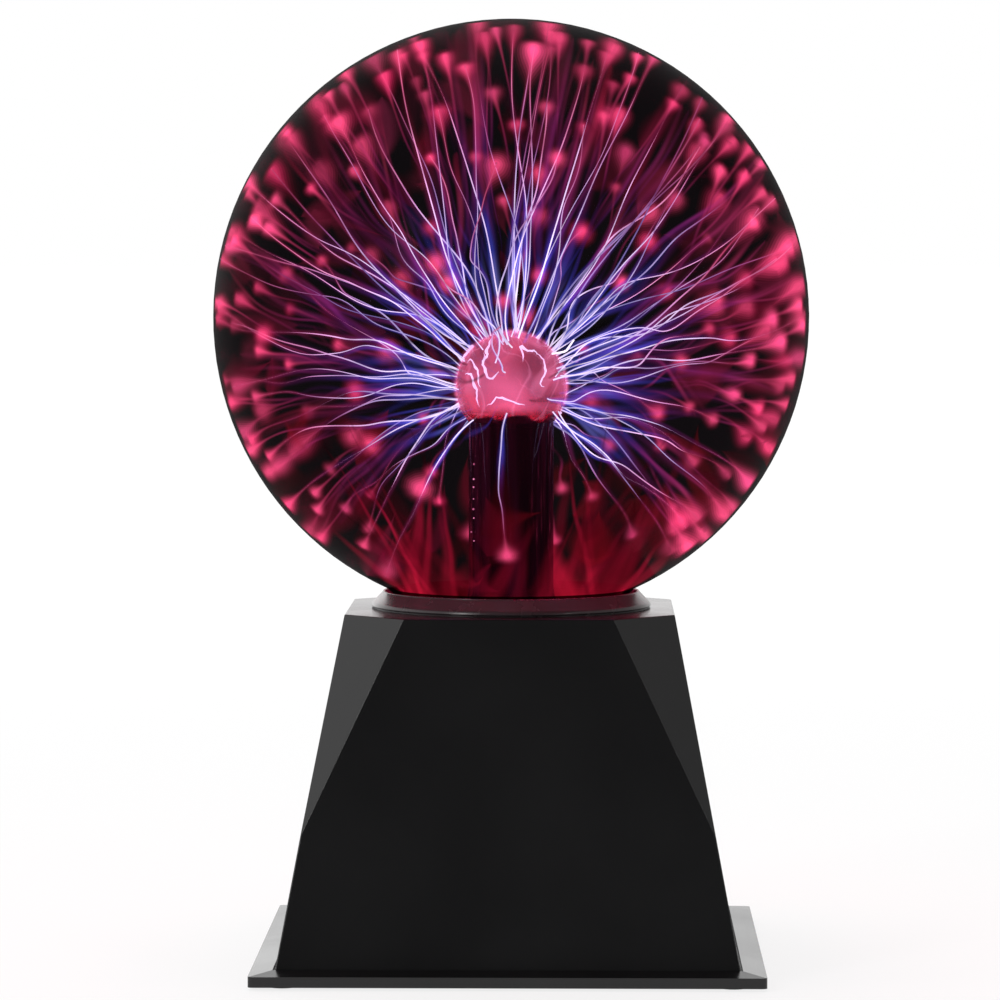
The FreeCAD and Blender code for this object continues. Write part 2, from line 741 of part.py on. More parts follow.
# ---- back panel ----
def switch_slot():
    """The hole in the wall for the knob's travel, and the two holes for the switch's screws."""
    reach = 2 * TOWER_WALL
    play_along, play_across = KNOB_SLOT_PLAY
    slot = block(KNOB_SIZE + SWITCH_TRAVEL + play_along, KNOB_SIZE + play_across, -reach, reach)
    for x in (-SWITCH_SCREW_AT, SWITCH_SCREW_AT):
        slot = slot.fuse(cylinder(SWITCH_SCREW_R + SCREW_PLAY, -reach, reach, x))
    return slot


def jack_parts():
    """The DC inlet: a threaded barrel with its centre pin, spring contact and nut."""
    wall = TOWER_WALL * math.cos(WALL_LEAN)
    body = cylinder(JACK_R, -JACK_DEPTH, 0.0).fuse(cylinder(JACK_RIM_R, 0.0, JACK_RIM))
    body = body.removeSplitter()
    body = body.makeFillet(SMALL_FILLET, [outer_rim(body, JACK_RIM, JACK_RIM_R)])
    body = body.cut(cylinder(JACK_BORE_R, -JACK_BORE_DEPTH, JACK_RIM + 1))
    body = body.cut(cylinder(JACK_TAIL_R, -JACK_DEPTH - 1, -JACK_BORE_DEPTH + 1))
    slot_wide = SPRING_WIDE + SMALL_GAP
    slot = block(slot_wide, 3 * SPRING_THICK, -JACK_DEPTH - 1, JACK_PIN_PROUD, 0.0, SPRING_AT)
    nodes["power_jack_body"] = on_panel(body.cut(slot), JACK_X)
    pin = cylinder(JACK_PIN_R, -JACK_BORE_DEPTH, JACK_PIN_PROUD)
    pin = pin.fuse(cylinder(JACK_TAIL_R, -JACK_TAIL, -JACK_BORE_DEPTH))
    nodes["power_jack_pin"] = on_panel(pin, JACK_X)
    spring_top = JACK_PIN_PROUD - 2 * SMALL_GAP
    spring = block(SPRING_WIDE, SPRING_THICK, -JACK_TAIL, spring_top, 0.0, SPRING_AT)
    nodes["power_jack_spring"] = on_panel(spring, JACK_X)
    nut_top = -wall - PANEL_GAP
    nut = hexagon(NUT_R, nut_top - NUT_THICK, nut_top)
    nut = nut.cut(cylinder(JACK_R + PANEL_GAP, -JACK_DEPTH, 0.0))
    nodes["power_jack_nut"] = on_panel(nut, JACK_X)


def switch_parts():
    """The slide switch: a metal can with screw ears, a base with four tags and the knob."""
    can_top = -TOWER_WALL * math.cos(WALL_LEAN) - PANEL_GAP
    ear_low = can_top - CAN_EAR
    can = block(CAN_LONG, CAN_WIDE, can_top - CAN_DEEP, can_top)
    can = can.fuse(block(CAN_EARS_LONG, CAN_WIDE, ear_low, can_top)).removeSplitter()
    inside_long = CAN_LONG - 2 * CAN_SHEET
    inside_wide = CAN_WIDE - 2 * CAN_SHEET
    can = can.cut(block(inside_long, inside_wide, can_top - CAN_DEEP, ear_low))
    hole_long = KNOB_SIZE + SWITCH_TRAVEL + CAN_SLOT_PLAY[0]
    hole_wide = KNOB_SIZE + CAN_SLOT_PLAY[1]
    can = can.cut(block(hole_long, hole_wide, can_top - 1, can_top + 1))
    for x in (-SWITCH_SCREW_AT, SWITCH_SCREW_AT):
        can = can.cut(cylinder(SWITCH_SCREW_R + THREAD_PLAY, can_top - 1, can_top + 1, x))
    nodes["switch_can"] = on_panel(can, SWITCH_X)
    tag_top = can_top - CAN_DEEP + SMALL_GAP
    base_top = tag_top + SWITCH_BASE_THICK
    base = block(inside_long - 2 * SMALL_GAP, inside_wide - 2 * SMALL_GAP, tag_top, base_top)
    tag_low = tag_top - TAG_LONG
    tags = [
        block(TAG_WIDE, TAG_THICK, tag_low, tag_top, (i - 1.5) * TAG_SPACING) for i in range(4)
    ]
    nodes["switch_base"] = on_panel(fuse([base] + tags), SWITCH_X)
    rest_x = SWITCH_TRAVEL / 2
    slider_top = ear_low - SMALL_GAP
    slider_wide = inside_wide - SLIDER_PLAY
    slider = block(SLIDER_LONG, slider_wide, base_top + SMALL_GAP, slider_top, rest_x)
    post = block(KNOB_SIZE, KNOB_SIZE, slider_top, KNOB_PROUD, rest_x)
    rim = [edge for edge in post.Edges if edge.BoundBox.ZMin > KNOB_PROUD - SMALL_GAP]
    knob = slider.fuse(post.makeFillet(SMALL_FILLET, rim)).removeSplitter()
    nodes["switch_knob"] = on_panel(knob, SWITCH_X)
    nodes["switch_screws"] = on_panel(group([
        pan_screw(x, 0.0, WELD_GAP, SWITCH_SCREW_LONG, SWITCH_SCREW_R, SWITCH_HEAD, up=False)
        for x in (-SWITCH_SCREW_AT, SWITCH_SCREW_AT)
    ]), SWITCH_X)


def hexagon(radius, low, high):
    corners = [on_circle((0, 0), radius, math.radians(60 * i)) for i in range(7)]
    ring = Part.makePolygon([Vector(x, y, low) for x, y in corners])
    return Part.Face(ring).extrude(Vector(0, 0, high - low))


# ---- electronics ----
def circuit_board():
    board = block(BOARD_X, BOARD_Y, BOARD_UNDER, BOARD_TOP)
    upright = [edge for edge in board.Edges if edge.BoundBox.ZLength > BOARD_THICK / 2]
    board = board.makeFillet(PCB_CORNER_R, upright)
    for x, y in corner_points(BOARD_HOLE_X, BOARD_HOLE_Y):
        board = board.cut(cylinder(SCREW_R + PCB_PLAY, BOARD_UNDER - 1, BOARD_TOP + 1, x, y))
    return board


def transformer_parts():
    """Two U cores round a bobbin, with the secondary on one leg and the primary on the other."""
    low = BOARD_TOP + CORE_LIFT
    high = low + CORE_HEIGHT
    middle = (low + high) / 2
    outer_long = CORE_WINDOW + 2 * CORE_LEG
    outer = block(outer_long, CORE_LEG, low, high, CORE_X)
    core = outer.cut(block(CORE_WINDOW, 2 * CORE_LEG, low + CORE_LEG, high - CORE_LEG, CORE_X))
    gap = block(2 * outer_long, 2 * CORE_LEG, middle - CORE_GAP / 2, middle + CORE_GAP / 2, CORE_X)
    nodes["ferrite_cores"] = group(core.cut(gap).Solids)
    leg_x = CORE_X - (CORE_WINDOW + CORE_LEG) / 2
    bottom = low + CORE_LEG + LINER_GAP
    top = high - CORE_LEG - LINER_GAP
    bobbin = fuse([
        cylinder(BOBBIN_BARREL_R, bottom, top, leg_x),
        cylinder(BOBBIN_R, bottom, bottom + BOBBIN_CHEEK, leg_x),
        cylinder(BOBBIN_R, top - BOBBIN_CHEEK, top, leg_x),
    ])
    bore = CORE_LEG + CORE_BORE_PLAY
    nodes["coil_bobbin"] = bobbin.cut(block(bore, bore, low, high, leg_x))
    coil_low = bottom + BOBBIN_CHEEK + SMALL_GAP
    coil_high = top - BOBBIN_CHEEK - SMALL_GAP
    coil = tube(COIL_R, BOBBIN_BARREL_R + SMALL_GAP, coil_low, coil_high, leg_x)
    rims = [outer_rim(coil, coil_low, COIL_R), outer_rim(coil, coil_high, COIL_R)]
    nodes["secondary_winding"] = coil.makeFillet(1.0, rims)
    other_leg = CORE_X + (CORE_WINDOW + CORE_LEG) / 2
    lowest = middle - (PRIMARY_TURNS - 1) / 2 * PRIMARY_PITCH
    nodes["primary_winding"] = group([
        Part.makeTorus(PRIMARY_R, PRIMARY_WIRE_R, Vector(other_leg, 0, lowest + i * PRIMARY_PITCH))
        for i in range(PRIMARY_TURNS)
    ])


def power_stage():
    """The switching transistor bolted to its finned heatsink."""
    top = BOARD_TOP + SINK_TALL
    fin_x = SINK_X + SINK_THICK / 2 + FIN_DEEP / 2 - SMALL_GAP * 5
    half = int(SINK_LONG / 2) - 1
    fins = [
        block(FIN_DEEP, FIN_THICK, BOARD_TOP, top, fin_x, y)
        for y in range(-half, half + 1, FIN_SPACING)
    ]
    sink = fuse([block(SINK_THICK, SINK_LONG, BOARD_TOP, top, SINK_X)] + fins)
    low = BOARD_TOP + CASE_RISE
    face_x = SINK_X - SINK_THICK / 2
    hole_z = low + TAB_HOLE
    screw_hole = Part.makeCylinder(SCREW_R, SINK_THICK + 2, Vector(face_x - 1, 0, hole_z), ALONG_X)
    nodes["heatsink"] = sink.cut(screw_hole)
    tab_x = face_x - TAB_THICK
    tab = block(TAB_THICK, CASE_WIDE, low, low + TAB_TALL, face_x - TAB_THICK / 2)
    case = block(CASE_THICK, CASE_WIDE, low, low + CASE_TALL, tab_x - CASE_THICK / 2)
    legs = [
        block(LEG_THICK, LEG_WIDE, BOARD_TOP, low, tab_x - TAB_THICK, y)
        for y in (-PIN_SPACING, 0.0, PIN_SPACING)
    ]
    tab_hole = Part.makeCylinder(
        SCREW_R + SCREW_PLAY, 2 * CASE_THICK, Vector(tab_x - CASE_THICK, 0, hole_z), ALONG_X
    )
    nodes["power_transistor"] = fuse([tab, case] + legs).cut(tab_hole)
    head_r, head_h = TAB_HEAD
    head = Part.makeCylinder(head_r, head_h, Vector(tab_x - head_h, 0, hole_z), ALONG_X)
    shank_r = SCREW_R - THREAD_PLAY
    shank = Part.makeCylinder(shank_r, TAB_SCREW_LONG, Vector(tab_x, 0, hole_z), ALONG_X)
    nodes["transistor_screw"] = head.fuse(shank).removeSplitter()


def can(x, y, radius, height):
    """An electrolytic capacitor: a can with a rolled waist and a rounded top."""
    body = cylinder(radius, BOARD_TOP + CAN_LIFT, BOARD_TOP + height, x, y)
    body = body.makeFillet(CAN_EDGE_R, [outer_rim(body, BOARD_TOP + height, radius)])
    waist = Part.makeTorus(radius + WAIST_INSET, WAIST_R, Vector(x, y, BOARD_TOP + WAIST_AT))
    return body.cut(waist)


def resistor(x, y, turned):
    """A resistor lying on its bent leads."""
    half_long = RESISTOR_LONG / 2
    half_span = RESISTOR_SPAN / 2
    body = Part.makeCylinder(RESISTOR_R, RESISTOR_LONG, Vector(-half_long, 0, 0), ALONG_X)
    wire_long = RESISTOR_SPAN + 0.2
    wire = Part.makeCylinder(RESISTOR_WIRE_R, wire_long, Vector(-wire_long / 2, 0, 0), ALONG_X)
    legs = [cylinder(RESISTOR_WIRE_R, -RESISTOR_LIFT, 0.0, end) for end in (-half_span, half_span)]
    whole = fuse([body, wire] + legs)
    spin = Rotation(UP, 90 if turned else 0)
    whole.Placement = Placement(Vector(x, y, BOARD_TOP + RESISTOR_LIFT), spin)
    return whole


def timer_chip(x, y):
    """An eight-pin timer in its plastic body."""
    low = BOARD_TOP + CHIP_LIFT
    pieces = [block(CHIP_LONG, CHIP_WIDE, low, low + CHIP_TALL, x, y)]
    for row in (-1, 1):
        for i in range(4):
            pin_x = x + (i - 1.5) * PIN_SPACING
            pin_y = y + row * CHIP_ROW
            pin_top = low + CHIP_TALL / 2
            pieces.append(block(CHIP_PIN_WIDE, CHIP_PIN_DEEP, BOARD_TOP, pin_top, pin_x, pin_y))
    return fuse(pieces)


def microphone(x, y):
    """The sound sensor's can, with its sound hole."""
    top = BOARD_TOP + MIC_TALL
    body = cylinder(MIC_R, BOARD_TOP, top, x, y)
    body = body.makeFillet(SMALL_FILLET, [outer_rim(body, top, MIC_R)])
    return body.cut(cylinder(MIC_HOLE_R, top - MIC_HOLE_DEEP, top + 1, x, y))


def board_parts():
    nodes["circuit_board"] = circuit_board()
    screw_points = corner_points(BOARD_HOLE_X, BOARD_HOLE_Y)
    nodes["board_screws"] = group([
        pan_screw(x, y, BOARD_TOP, BOARD_SCREW_LONG, BOARD_SCREW_R, BOARD_HEAD, up=False)
        for x, y in screw_points
    ])
    nodes["electrolytic_capacitors"] = group([can(*spot) for spot in CAN_SPOTS])
    film_top = BOARD_TOP + FILM_TALL
    nodes["film_capacitor"] = soft_block(
        FILM_LONG, FILM_WIDE, BOARD_TOP, film_top, FILM_AT, FILM_AT, FILM_EDGE_R
    )
    nodes["resistors"] = group([resistor(*spot) for spot in RESISTOR_SPOTS])
    nodes["timer_chip"] = timer_chip(*CHIP_SPOT)
    nodes["microphone"] = microphone(*MIC_SPOT)
    header_top = BOARD_TOP + HEADER_TALL
    nodes["lead_headers"] = group([
        soft_block(HEADER_LONG, HEADER_WIDE, BOARD_TOP, header_top, x, y, SMALL_FILLET)
        for x, y in HEADER_SPOTS
    ])


# ---- wiring ----
def wiring():
    """Leads held at both ends, each along its own route."""
    cable = lead("hv_cable", HV_ROUTE, CABLE_R)
    strand_r = CABLE_CORE_R - THREAD_PLAY
    end = Vector(0, CABLE_R, CABLE_END_Z)
    core = Part.makeCylinder(strand_r, CABLE_STRAND_LONG, end, ALONG_Y)
    nodes["hv_cable"] = cable.fuse(core).removeSplitter()
    nodes["power_lead_red"] = lead("power_lead_red", RED_ROUTE, LEAD_R)
    nodes["power_lead_black"] = lead("power_lead_black", BLACK_ROUTE, LEAD_R)
    nodes["switch_leads"] = group(
        [lead("switch_lead", route, LEAD_R) for route in (SWITCH_ROUTE_A, SWITCH_ROUTE_B)]
    )


def make_all():
    nodes["glass_globe"] = glass_globe()
    nodes["stem_tube"] = stem_tube()
    electrode_parts()
    neck_parts()
    nodes["collar_ring"] = collar_ring()
    nodes["foot_plate"] = foot_plate()
    nodes["rubber_feet"] = rubber_feet()
    nodes["tower_shell"] = tower_shell()
    nodes["base_screws"] = base_screws()
    jack_parts()
    switch_parts()
    board_parts()
    transformer_parts()
    power_stage()
    wiring()


make_all()
os.makedirs("parts", exist_ok=True)
for name, shape in nodes.items():
    if not shape.isValid():
        print("not valid:", name)
    shape.exportStep("parts/" + name + ".step")
whole = group(list(nodes.values())).BoundBox
print(len(nodes), "nodes", round(whole.XLength, 2), round(whole.YLength, 2), round(whole.ZLength, 2))
print("lowest", round(whole.ZMin, 3), "highest", round(whole.ZMax, 3))
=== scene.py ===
import json
import math

import bpy
import numpy as np
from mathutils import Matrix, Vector

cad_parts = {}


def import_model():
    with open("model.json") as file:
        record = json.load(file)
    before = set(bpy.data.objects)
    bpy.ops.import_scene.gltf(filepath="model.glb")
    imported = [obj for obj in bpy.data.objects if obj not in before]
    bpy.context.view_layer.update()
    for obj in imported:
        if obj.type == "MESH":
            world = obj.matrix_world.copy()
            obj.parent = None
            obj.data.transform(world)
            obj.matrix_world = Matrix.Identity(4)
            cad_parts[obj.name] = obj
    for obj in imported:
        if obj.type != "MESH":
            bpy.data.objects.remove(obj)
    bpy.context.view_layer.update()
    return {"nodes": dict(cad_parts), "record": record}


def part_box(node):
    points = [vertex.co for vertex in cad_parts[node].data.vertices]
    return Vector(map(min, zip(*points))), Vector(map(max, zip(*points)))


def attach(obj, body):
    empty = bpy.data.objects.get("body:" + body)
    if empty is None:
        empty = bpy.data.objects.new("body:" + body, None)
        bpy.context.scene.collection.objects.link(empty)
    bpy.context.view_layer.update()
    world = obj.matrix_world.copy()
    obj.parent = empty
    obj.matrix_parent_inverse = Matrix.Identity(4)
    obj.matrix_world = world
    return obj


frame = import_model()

MM = 0.001
SEED = 20
BODY = "base"


# ---- places read from the frame ----
def top_of(node):
    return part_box(node)[1][2]


def half_width(node):
    low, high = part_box(node)
    return (high[0] - low[0]) / 2


GLOBE_R = half_width("glass_globe")
GLOBE_C = np.array([0.0, 0.0, top_of("glass_globe") - GLOBE_R])
GLASS_WALL = 1.2 * MM
FILLING_R = half_width("electrode_filling")
BULB_C = np.array([0.0, 0.0, top_of("electrode_filling") - FILLING_R])
BULB_R = top_of("stem_tube") - BULB_C[2]
COATING_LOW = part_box("electrode_filling")[0][2]
STEM_WALL_AND_GAP = 1.8 * MM
STEM_R = half_width("stem_liner") + STEM_WALL_AND_GAP
COLLAR_TOP = top_of("collar_ring")
UP = np.array([0.0, 0.0, 1.0])

# ---- light levels ----
THROUGH_GLASS = 0.060      # share of light that the dark-tinted globe glass lets through; the tint is painted shade
# Globe glass tint: painted shade, darkening everything seen through the globe.
GLASS_SHADE_TINT = (0.064, 0.056, 0.062)
GLOW_ALPHA = 0.02          # how much one layer of glow hides what is behind it
CORE_STRENGTH = 1.0 / THROUGH_GLASS
GLOW_STRENGTH = 1.0 / (THROUGH_GLASS * GLOW_ALPHA)
GRAZING_POWER = 5.0        # how sharply a polish rises towards a glancing view
MID_LOW, MID_HIGH = 0.3, 0.7   # where most of a noise texture's values lie
MOTTLE = 0.25              # how far a moulding's tone strays from its colour


# ---- node helpers ----
class Shader:
    """A material's node tree with short ways to add and join nodes."""

    def __init__(self, name):
        self.material = bpy.data.materials.new(name)
        self.material.use_nodes = True
        self.tree = self.material.node_tree
        self.tree.nodes.clear()
        self.out = self.add("ShaderNodeOutputMaterial")

    def add(self, kind, **settings):
        node = self.tree.nodes.new(kind)
        for key, value in settings.items():
            setattr(node, key, value)
        return node

    def join(self, source, target):
        self.tree.links.new(source, target)

    def principled(self, **values):
        node = self.add("ShaderNodeBsdfPrincipled")
        for key, value in values.items():
            node.inputs[key.replace("_", " ")].default_value = value
        self.join(node.outputs[0], self.out.inputs["Surface"])
        return node

    def place(self):
        return self.add("ShaderNodeTexCoord").outputs["Object"]

    def noise(self, scale, detail=3.0, rough=0.55, vector=None, distortion=0.0):
        node = self.add("ShaderNodeTexNoise")
        node.inputs["Scale"].default_value = scale
        node.inputs["Detail"].default_value = detail
        node.inputs["Roughness"].default_value = rough
        node.inputs["Distortion"].default_value = distortion
        self.join(vector if vector is not None else self.place(), node.inputs["Vector"])
        return node.outputs["Fac"]

    def stretched(self, scale):
        """Object coordinates stretched along some axes, for grain that runs one way."""
        node = self.add("ShaderNodeMapping")
        node.inputs["Scale"].default_value = scale
        self.join(self.place(), node.inputs["Vector"])
        return node.outputs[0]

    def ramp(self, factor, stops):
        node = self.add("ShaderNodeValToRGB")
        elements = node.color_ramp.elements
        while len(elements) < len(stops):
            elements.new(0.5)
        for element, (at, colour) in zip(elements, stops):
            element.position = at
            element.color = (*colour, 1.0)
        self.join(factor, node.inputs[0])
        return node.outputs["Color"]

    def span(self, value, low, high, new_low=0.0, new_high=1.0):
        node = self.add("ShaderNodeMapRange")
        limits = {"From Min": low, "From Max": high, "To Min": new_low, "To Max": new_high}
        for key, number in limits.items():
            node.inputs[key].default_value = number
        self.join(value, node.inputs["Value"])
        return node.outputs[0]

    def uneven(self, noise, new_low, new_high):
        """A noise texture's usual values spread between two numbers."""
        return self.span(noise, MID_LOW, MID_HIGH, new_low, new_high)

    def maths(self, operation, a, b):
        node = self.add("ShaderNodeMath", operation=operation)
        for socket, value in zip(node.inputs, (a, b)):
            if isinstance(value, (int, float)):
                socket.default_value = value
            else:
                self.join(value, socket)
        return node.outputs[0]

    def mix(self, factor, a, b, blend="MIX"):
        node = self.add("ShaderNodeMix", data_type="RGBA", blend_type=blend)
        for socket, value in ((node.inputs[0], factor), (node.inputs[6], a), (node.inputs[7], b)):
            if isinstance(value, (int, float)):
                socket.default_value = value
            elif isinstance(value, tuple):
                socket.default_value = (*value, 1.0)
            else:
                self.join(value, socket)
        return node.outputs[2]

    def bump(self, shader, height, distance, strength=1.0):
        node = self.add("ShaderNodeBump")
        node.inputs["Strength"].default_value = strength
        node.inputs["Distance"].default_value = distance
        self.join(height, node.inputs["Height"])
        self.join(node.outputs[0], shader.inputs["Normal"])

    def attribute(self, name):
        return self.add("ShaderNodeAttribute", attribute_name=name).outputs["Fac"]

    def height(self):
        split = self.add("ShaderNodeSeparateXYZ")
        self.join(self.place(), split.inputs[0])
        return split.outputs["Z"]


def shade(value, by):
    return tuple(min(1.0, channel * by) for channel in value)


# ---- materials of the CAD nodes ----
def moulded(name, colour, rough, grain=2600.0, depth=0.00002, subsurface=0.0):
    """Moulded or extruded plastic and rubber: fine grain, uneven gloss and slight mottling."""
    s = Shader(name)
    shader = s.principled(Subsurface_Weight=subsurface)
    cloud = s.noise(35.0, 4.0)
    stops = [(MID_LOW, shade(colour, 1 - MOTTLE)), (MID_HIGH, shade(colour, 1 + MOTTLE))]
    tone = s.ramp(cloud, stops)
    s.join(tone, shader.inputs["Base Color"])
    gloss = s.uneven(s.noise(90.0, 5.0), rough * 0.85, rough * 1.15)
    s.join(gloss, shader.inputs["Roughness"])
    s.bump(shader, s.noise(grain, 2.0), depth)
    return s.material


def plated(name, colour, rough, grain=(900.0, 40.0, 900.0)):
    """Drawn, brushed or plated metal: fine lines one way and a few duller spots."""
    s = Shader(name)
    shader = s.principled(Metallic=1.0)
    lines = s.noise(1.0, 4.0, 0.6, s.stretched(grain))
    tone = s.ramp(lines, [(0.25, shade(colour, 0.78)), (0.75, shade(colour, 1.12))])
    s.join(tone, shader.inputs["Base Color"])
    dull = s.span(s.noise(60.0, 4.0), 0.35, 0.75, rough * 0.7, rough * 1.5)
    s.join(dull, shader.inputs["Roughness"])
    s.bump(shader, lines, 0.00002)
    return s.material


def base_plastic(name):
    """Satin black moulding with a fine spark-eroded grain and faint dust in its gloss."""
    s = Shader(name)
    shader = s.principled(IOR=1.46)
    dark, light = (0.0052, 0.0052, 0.0056), (0.0076, 0.0076, 0.0080)
    tone = s.ramp(s.noise(22.0, 5.0), [(MID_LOW, dark), (MID_HIGH, light)])
    s.join(tone, shader.inputs["Base Color"])
    smear = s.noise(14.0, 6.0, 0.6, None, 0.6)
    s.join(s.uneven(smear, 0.20, 0.27), shader.inputs["Roughness"])
    s.bump(shader, s.noise(3200.0, 2.0), 0.000012)
    return s.material


def collar_plastic(name):
    """The collar's softer black moulding, coloured a reddish grey with random mottling; the reddish
    tint is painted pink glow of the discharge.
    """
    s = Shader(name)
    shader = s.principled(IOR=1.52)
    # Reddish-grey colours: the dark grey is the moulding's own, the reddish tint is painted pink
    # light from the discharge.
    dark, light = (0.036, 0.026, 0.030), (0.050, 0.037, 0.042)
    tone = s.ramp(s.noise(40.0, 5.0), [(MID_LOW, dark), (MID_HIGH, light)])
    s.join(tone, shader.inputs["Base Color"])
    s.join(s.uneven(s.noise(120.0, 4.0), 0.20, 0.30), shader.inputs["Roughness"])
    s.bump(shader, s.noise(2400.0, 2.0), 0.00001)
    return s.material


def shade_tinted_glass(name, passing, face_gloss, edge_gloss, rough):
    """Thin blown glass with a faint polish and flow marks; its dark tint, which holds most light
    back, is painted shade that keeps the globe's inside dark.

    The outer face carries the whole tint; the inner face lets everything through.
    """
    s = Shader(name)
    clear = s.add("ShaderNodeBsdfTransparent")
    flow = s.noise(9.0, 3.0, 0.5, s.stretched((1.0, 1.0, 0.35)))
    tint = s.ramp(flow, [(MID_LOW, passing), (MID_HIGH, shade(passing, 1.08))])
    away = s.add("ShaderNodeVectorMath", operation="DISTANCE")
    s.join(s.place(), away.inputs[0])
    away.inputs[1].default_value = GLOBE_C
    inner = s.maths("LESS_THAN", away.outputs["Value"], GLOBE_R - GLASS_WALL / 2)
    s.join(s.mix(inner, tint, (1.0, 1.0, 1.0)), clear.inputs["Color"])
    polish = s.add("ShaderNodeBsdfGlossy")
    polish.inputs["Roughness"].default_value = rough
    edge = s.add("ShaderNodeLayerWeight")
    edge.inputs["Blend"].default_value = 0.5
    gloss = s.maths("MULTIPLY", s.maths("POWER", edge.outputs["Facing"], GRAZING_POWER), edge_gloss)
    both = s.add("ShaderNodeMixShader")
    s.join(s.maths("ADD", gloss, face_gloss), both.inputs[0])
    s.join(clear.outputs[0], both.inputs[1])
    s.join(polish.outputs[0], both.inputs[2])
    s.join(both.outputs[0], s.out.inputs["Surface"])
    return s.material


def stem_glass(name):
    """The inner glass: dark and clear on the tube with faint red streaks of painted reflection of
    the discharge, glowing pink where the bulb is coated.
    """
    s = Shader(name)
    shader = s.principled(Alpha=0.80, Emission_Strength=CORE_STRENGTH)
    waves = s.maths("MULTIPLY", s.noise(110.0, 1.0), 12.0 * MM)
    edge = s.maths("SUBTRACT", s.height(), waves)
    coated = s.span(edge, COATING_LOW - 7.2 * MM, COATING_LOW - 6.2 * MM)
    patches = s.noise(70.0, 3.0, 0.5, s.stretched((1.0, 1.0, 0.7)), 0.8)
    body = s.ramp(patches, [
        (0.38, (0.010, 0.001, 0.002)),
        (0.52, (0.13, 0.006, 0.012)),
        (0.66, (0.42, 0.032, 0.060)),
    ])
    off_middle = s.maths("SUBTRACT", s.noise(60.0, 1.0, 0.4, None, 1.0), 0.5)
    folds = s.maths("ABSOLUTE", off_middle, 0.0)
    pink = s.mix(s.span(folds, 0.0, 0.045, 0.5, 0.0), body, (0.50, 0.15, 0.26))
    # Faint red vertical streaks on the bare tube: painted reflection of the discharge in the stem
    # glass.
    painted_reflection_streaks = s.noise(1.0, 2.0, 0.5, s.stretched((260.0, 260.0, 9.0)))
    bare_tube_painted_reflection = s.ramp(painted_reflection_streaks, [(0.45, (0.003, 0.0004, 0.0016)), (0.75, (0.022, 0.002, 0.008))])
    s.join(s.mix(coated, bare_tube_painted_reflection, pink), shader.inputs["Emission Color"])
    s.join(s.mix(coated, (0.004, 0.002, 0.004), (0.10, 0.01, 0.03)), shader.inputs["Base Color"])
    s.join(s.uneven(patches, 0.05, 0.12), shader.inputs["Roughness"])
    return s.material


def electrode_wool(name):
    """Packed steel wool lit by the discharge: tangled bright strands over deep pink."""
    s = Shader(name)
    shader = s.principled(Metallic=0.6, Emission_Strength=CORE_STRENGTH)
    tangle = s.noise(420.0, 6.0, 0.7, None, 2.5)
    glow = s.ramp(tangle, [
        (0.35, (0.40, 0.02, 0.07)),
        (0.52, (0.72, 0.08, 0.17)),
        (0.68, (1.0, 0.35, 0.55)),
    ])
    s.join(glow, shader.inputs["Emission Color"])
    steel = s.ramp(tangle, [(MID_LOW, (0.2, 0.04, 0.06)), (MID_HIGH, (0.8, 0.3, 0.4))])
    s.join(steel, shader.inputs["Base Color"])
    s.join(s.uneven(tangle, 0.3, 0.6), shader.inputs["Roughness"])
    s.bump(shader, tangle, 0.0003)
    return s.material


def board_laminate(name):
    """Green solder mask over copper tracks, with the weave of the laminate under it."""
    s = Shader(name)
    shader = s.principled(Coat_Weight=0.4)
    bricks = s.add("ShaderNodeTexBrick")
    bricks.inputs["Scale"].default_value = 160.0
    bricks.inputs["Mortar Size"].default_value = 0.05
    greens = {
        "Color1": (0.010, 0.105, 0.035),
        "Color2": (0.014, 0.130, 0.045),
        "Mortar": (0.006, 0.060, 0.022),
    }
    for key, green in greens.items():
        bricks.inputs[key].default_value = (*green, 1.0)
    s.join(s.place(), bricks.inputs["Vector"])
    s.join(bricks.outputs["Color"], shader.inputs["Base Color"])
    s.join(s.uneven(s.noise(300.0), 0.3, 0.45), shader.inputs["Roughness"])
    s.bump(shader, bricks.outputs["Fac"], 0.00004)
    return s.material


def wound(name, colour, rough, turns, metallic=0.0):
    """A winding: fine bands round the coil, each turn catching the light."""
    s = Shader(name)
    shader = s.principled(Metallic=metallic)
    bands = s.add("ShaderNodeTexWave", wave_type="BANDS", bands_direction="Z")
    bands.inputs["Scale"].default_value = turns
    bands.inputs["Distortion"].default_value = 1.2
    s.join(s.place(), bands.inputs["Vector"])
    tone = s.ramp(bands.outputs["Fac"], [(0.1, shade(colour, 0.6)), (0.9, shade(colour, 1.15))])
    s.join(tone, shader.inputs["Base Color"])
    s.join(s.uneven(s.noise(200.0), rough * 0.8, rough * 1.2), shader.inputs["Roughness"])
    s.bump(shader, bands.outputs["Fac"], 0.0001)
    return s.material


def resistor_body(name):
    """Lacquer with colour bands across the body."""
    s = Shader(name)
    shader = s.principled(Coat_Weight=0.3)
    bands = s.add("ShaderNodeTexWave", wave_type="BANDS", bands_direction="DIAGONAL")
    bands.inputs["Scale"].default_value = 95.0
    s.join(s.place(), bands.inputs["Vector"])
    lacquer, brown, black = (0.52, 0.38, 0.20), (0.25, 0.03, 0.01), (0.02, 0.02, 0.02)
    tone = s.ramp(bands.outputs["Fac"], [(0.60, lacquer), (0.66, brown), (0.86, black)])
    s.join(tone, shader.inputs["Base Color"])
    s.join(s.uneven(s.noise(500.0), 0.25, 0.4), shader.inputs["Roughness"])
    return s.material


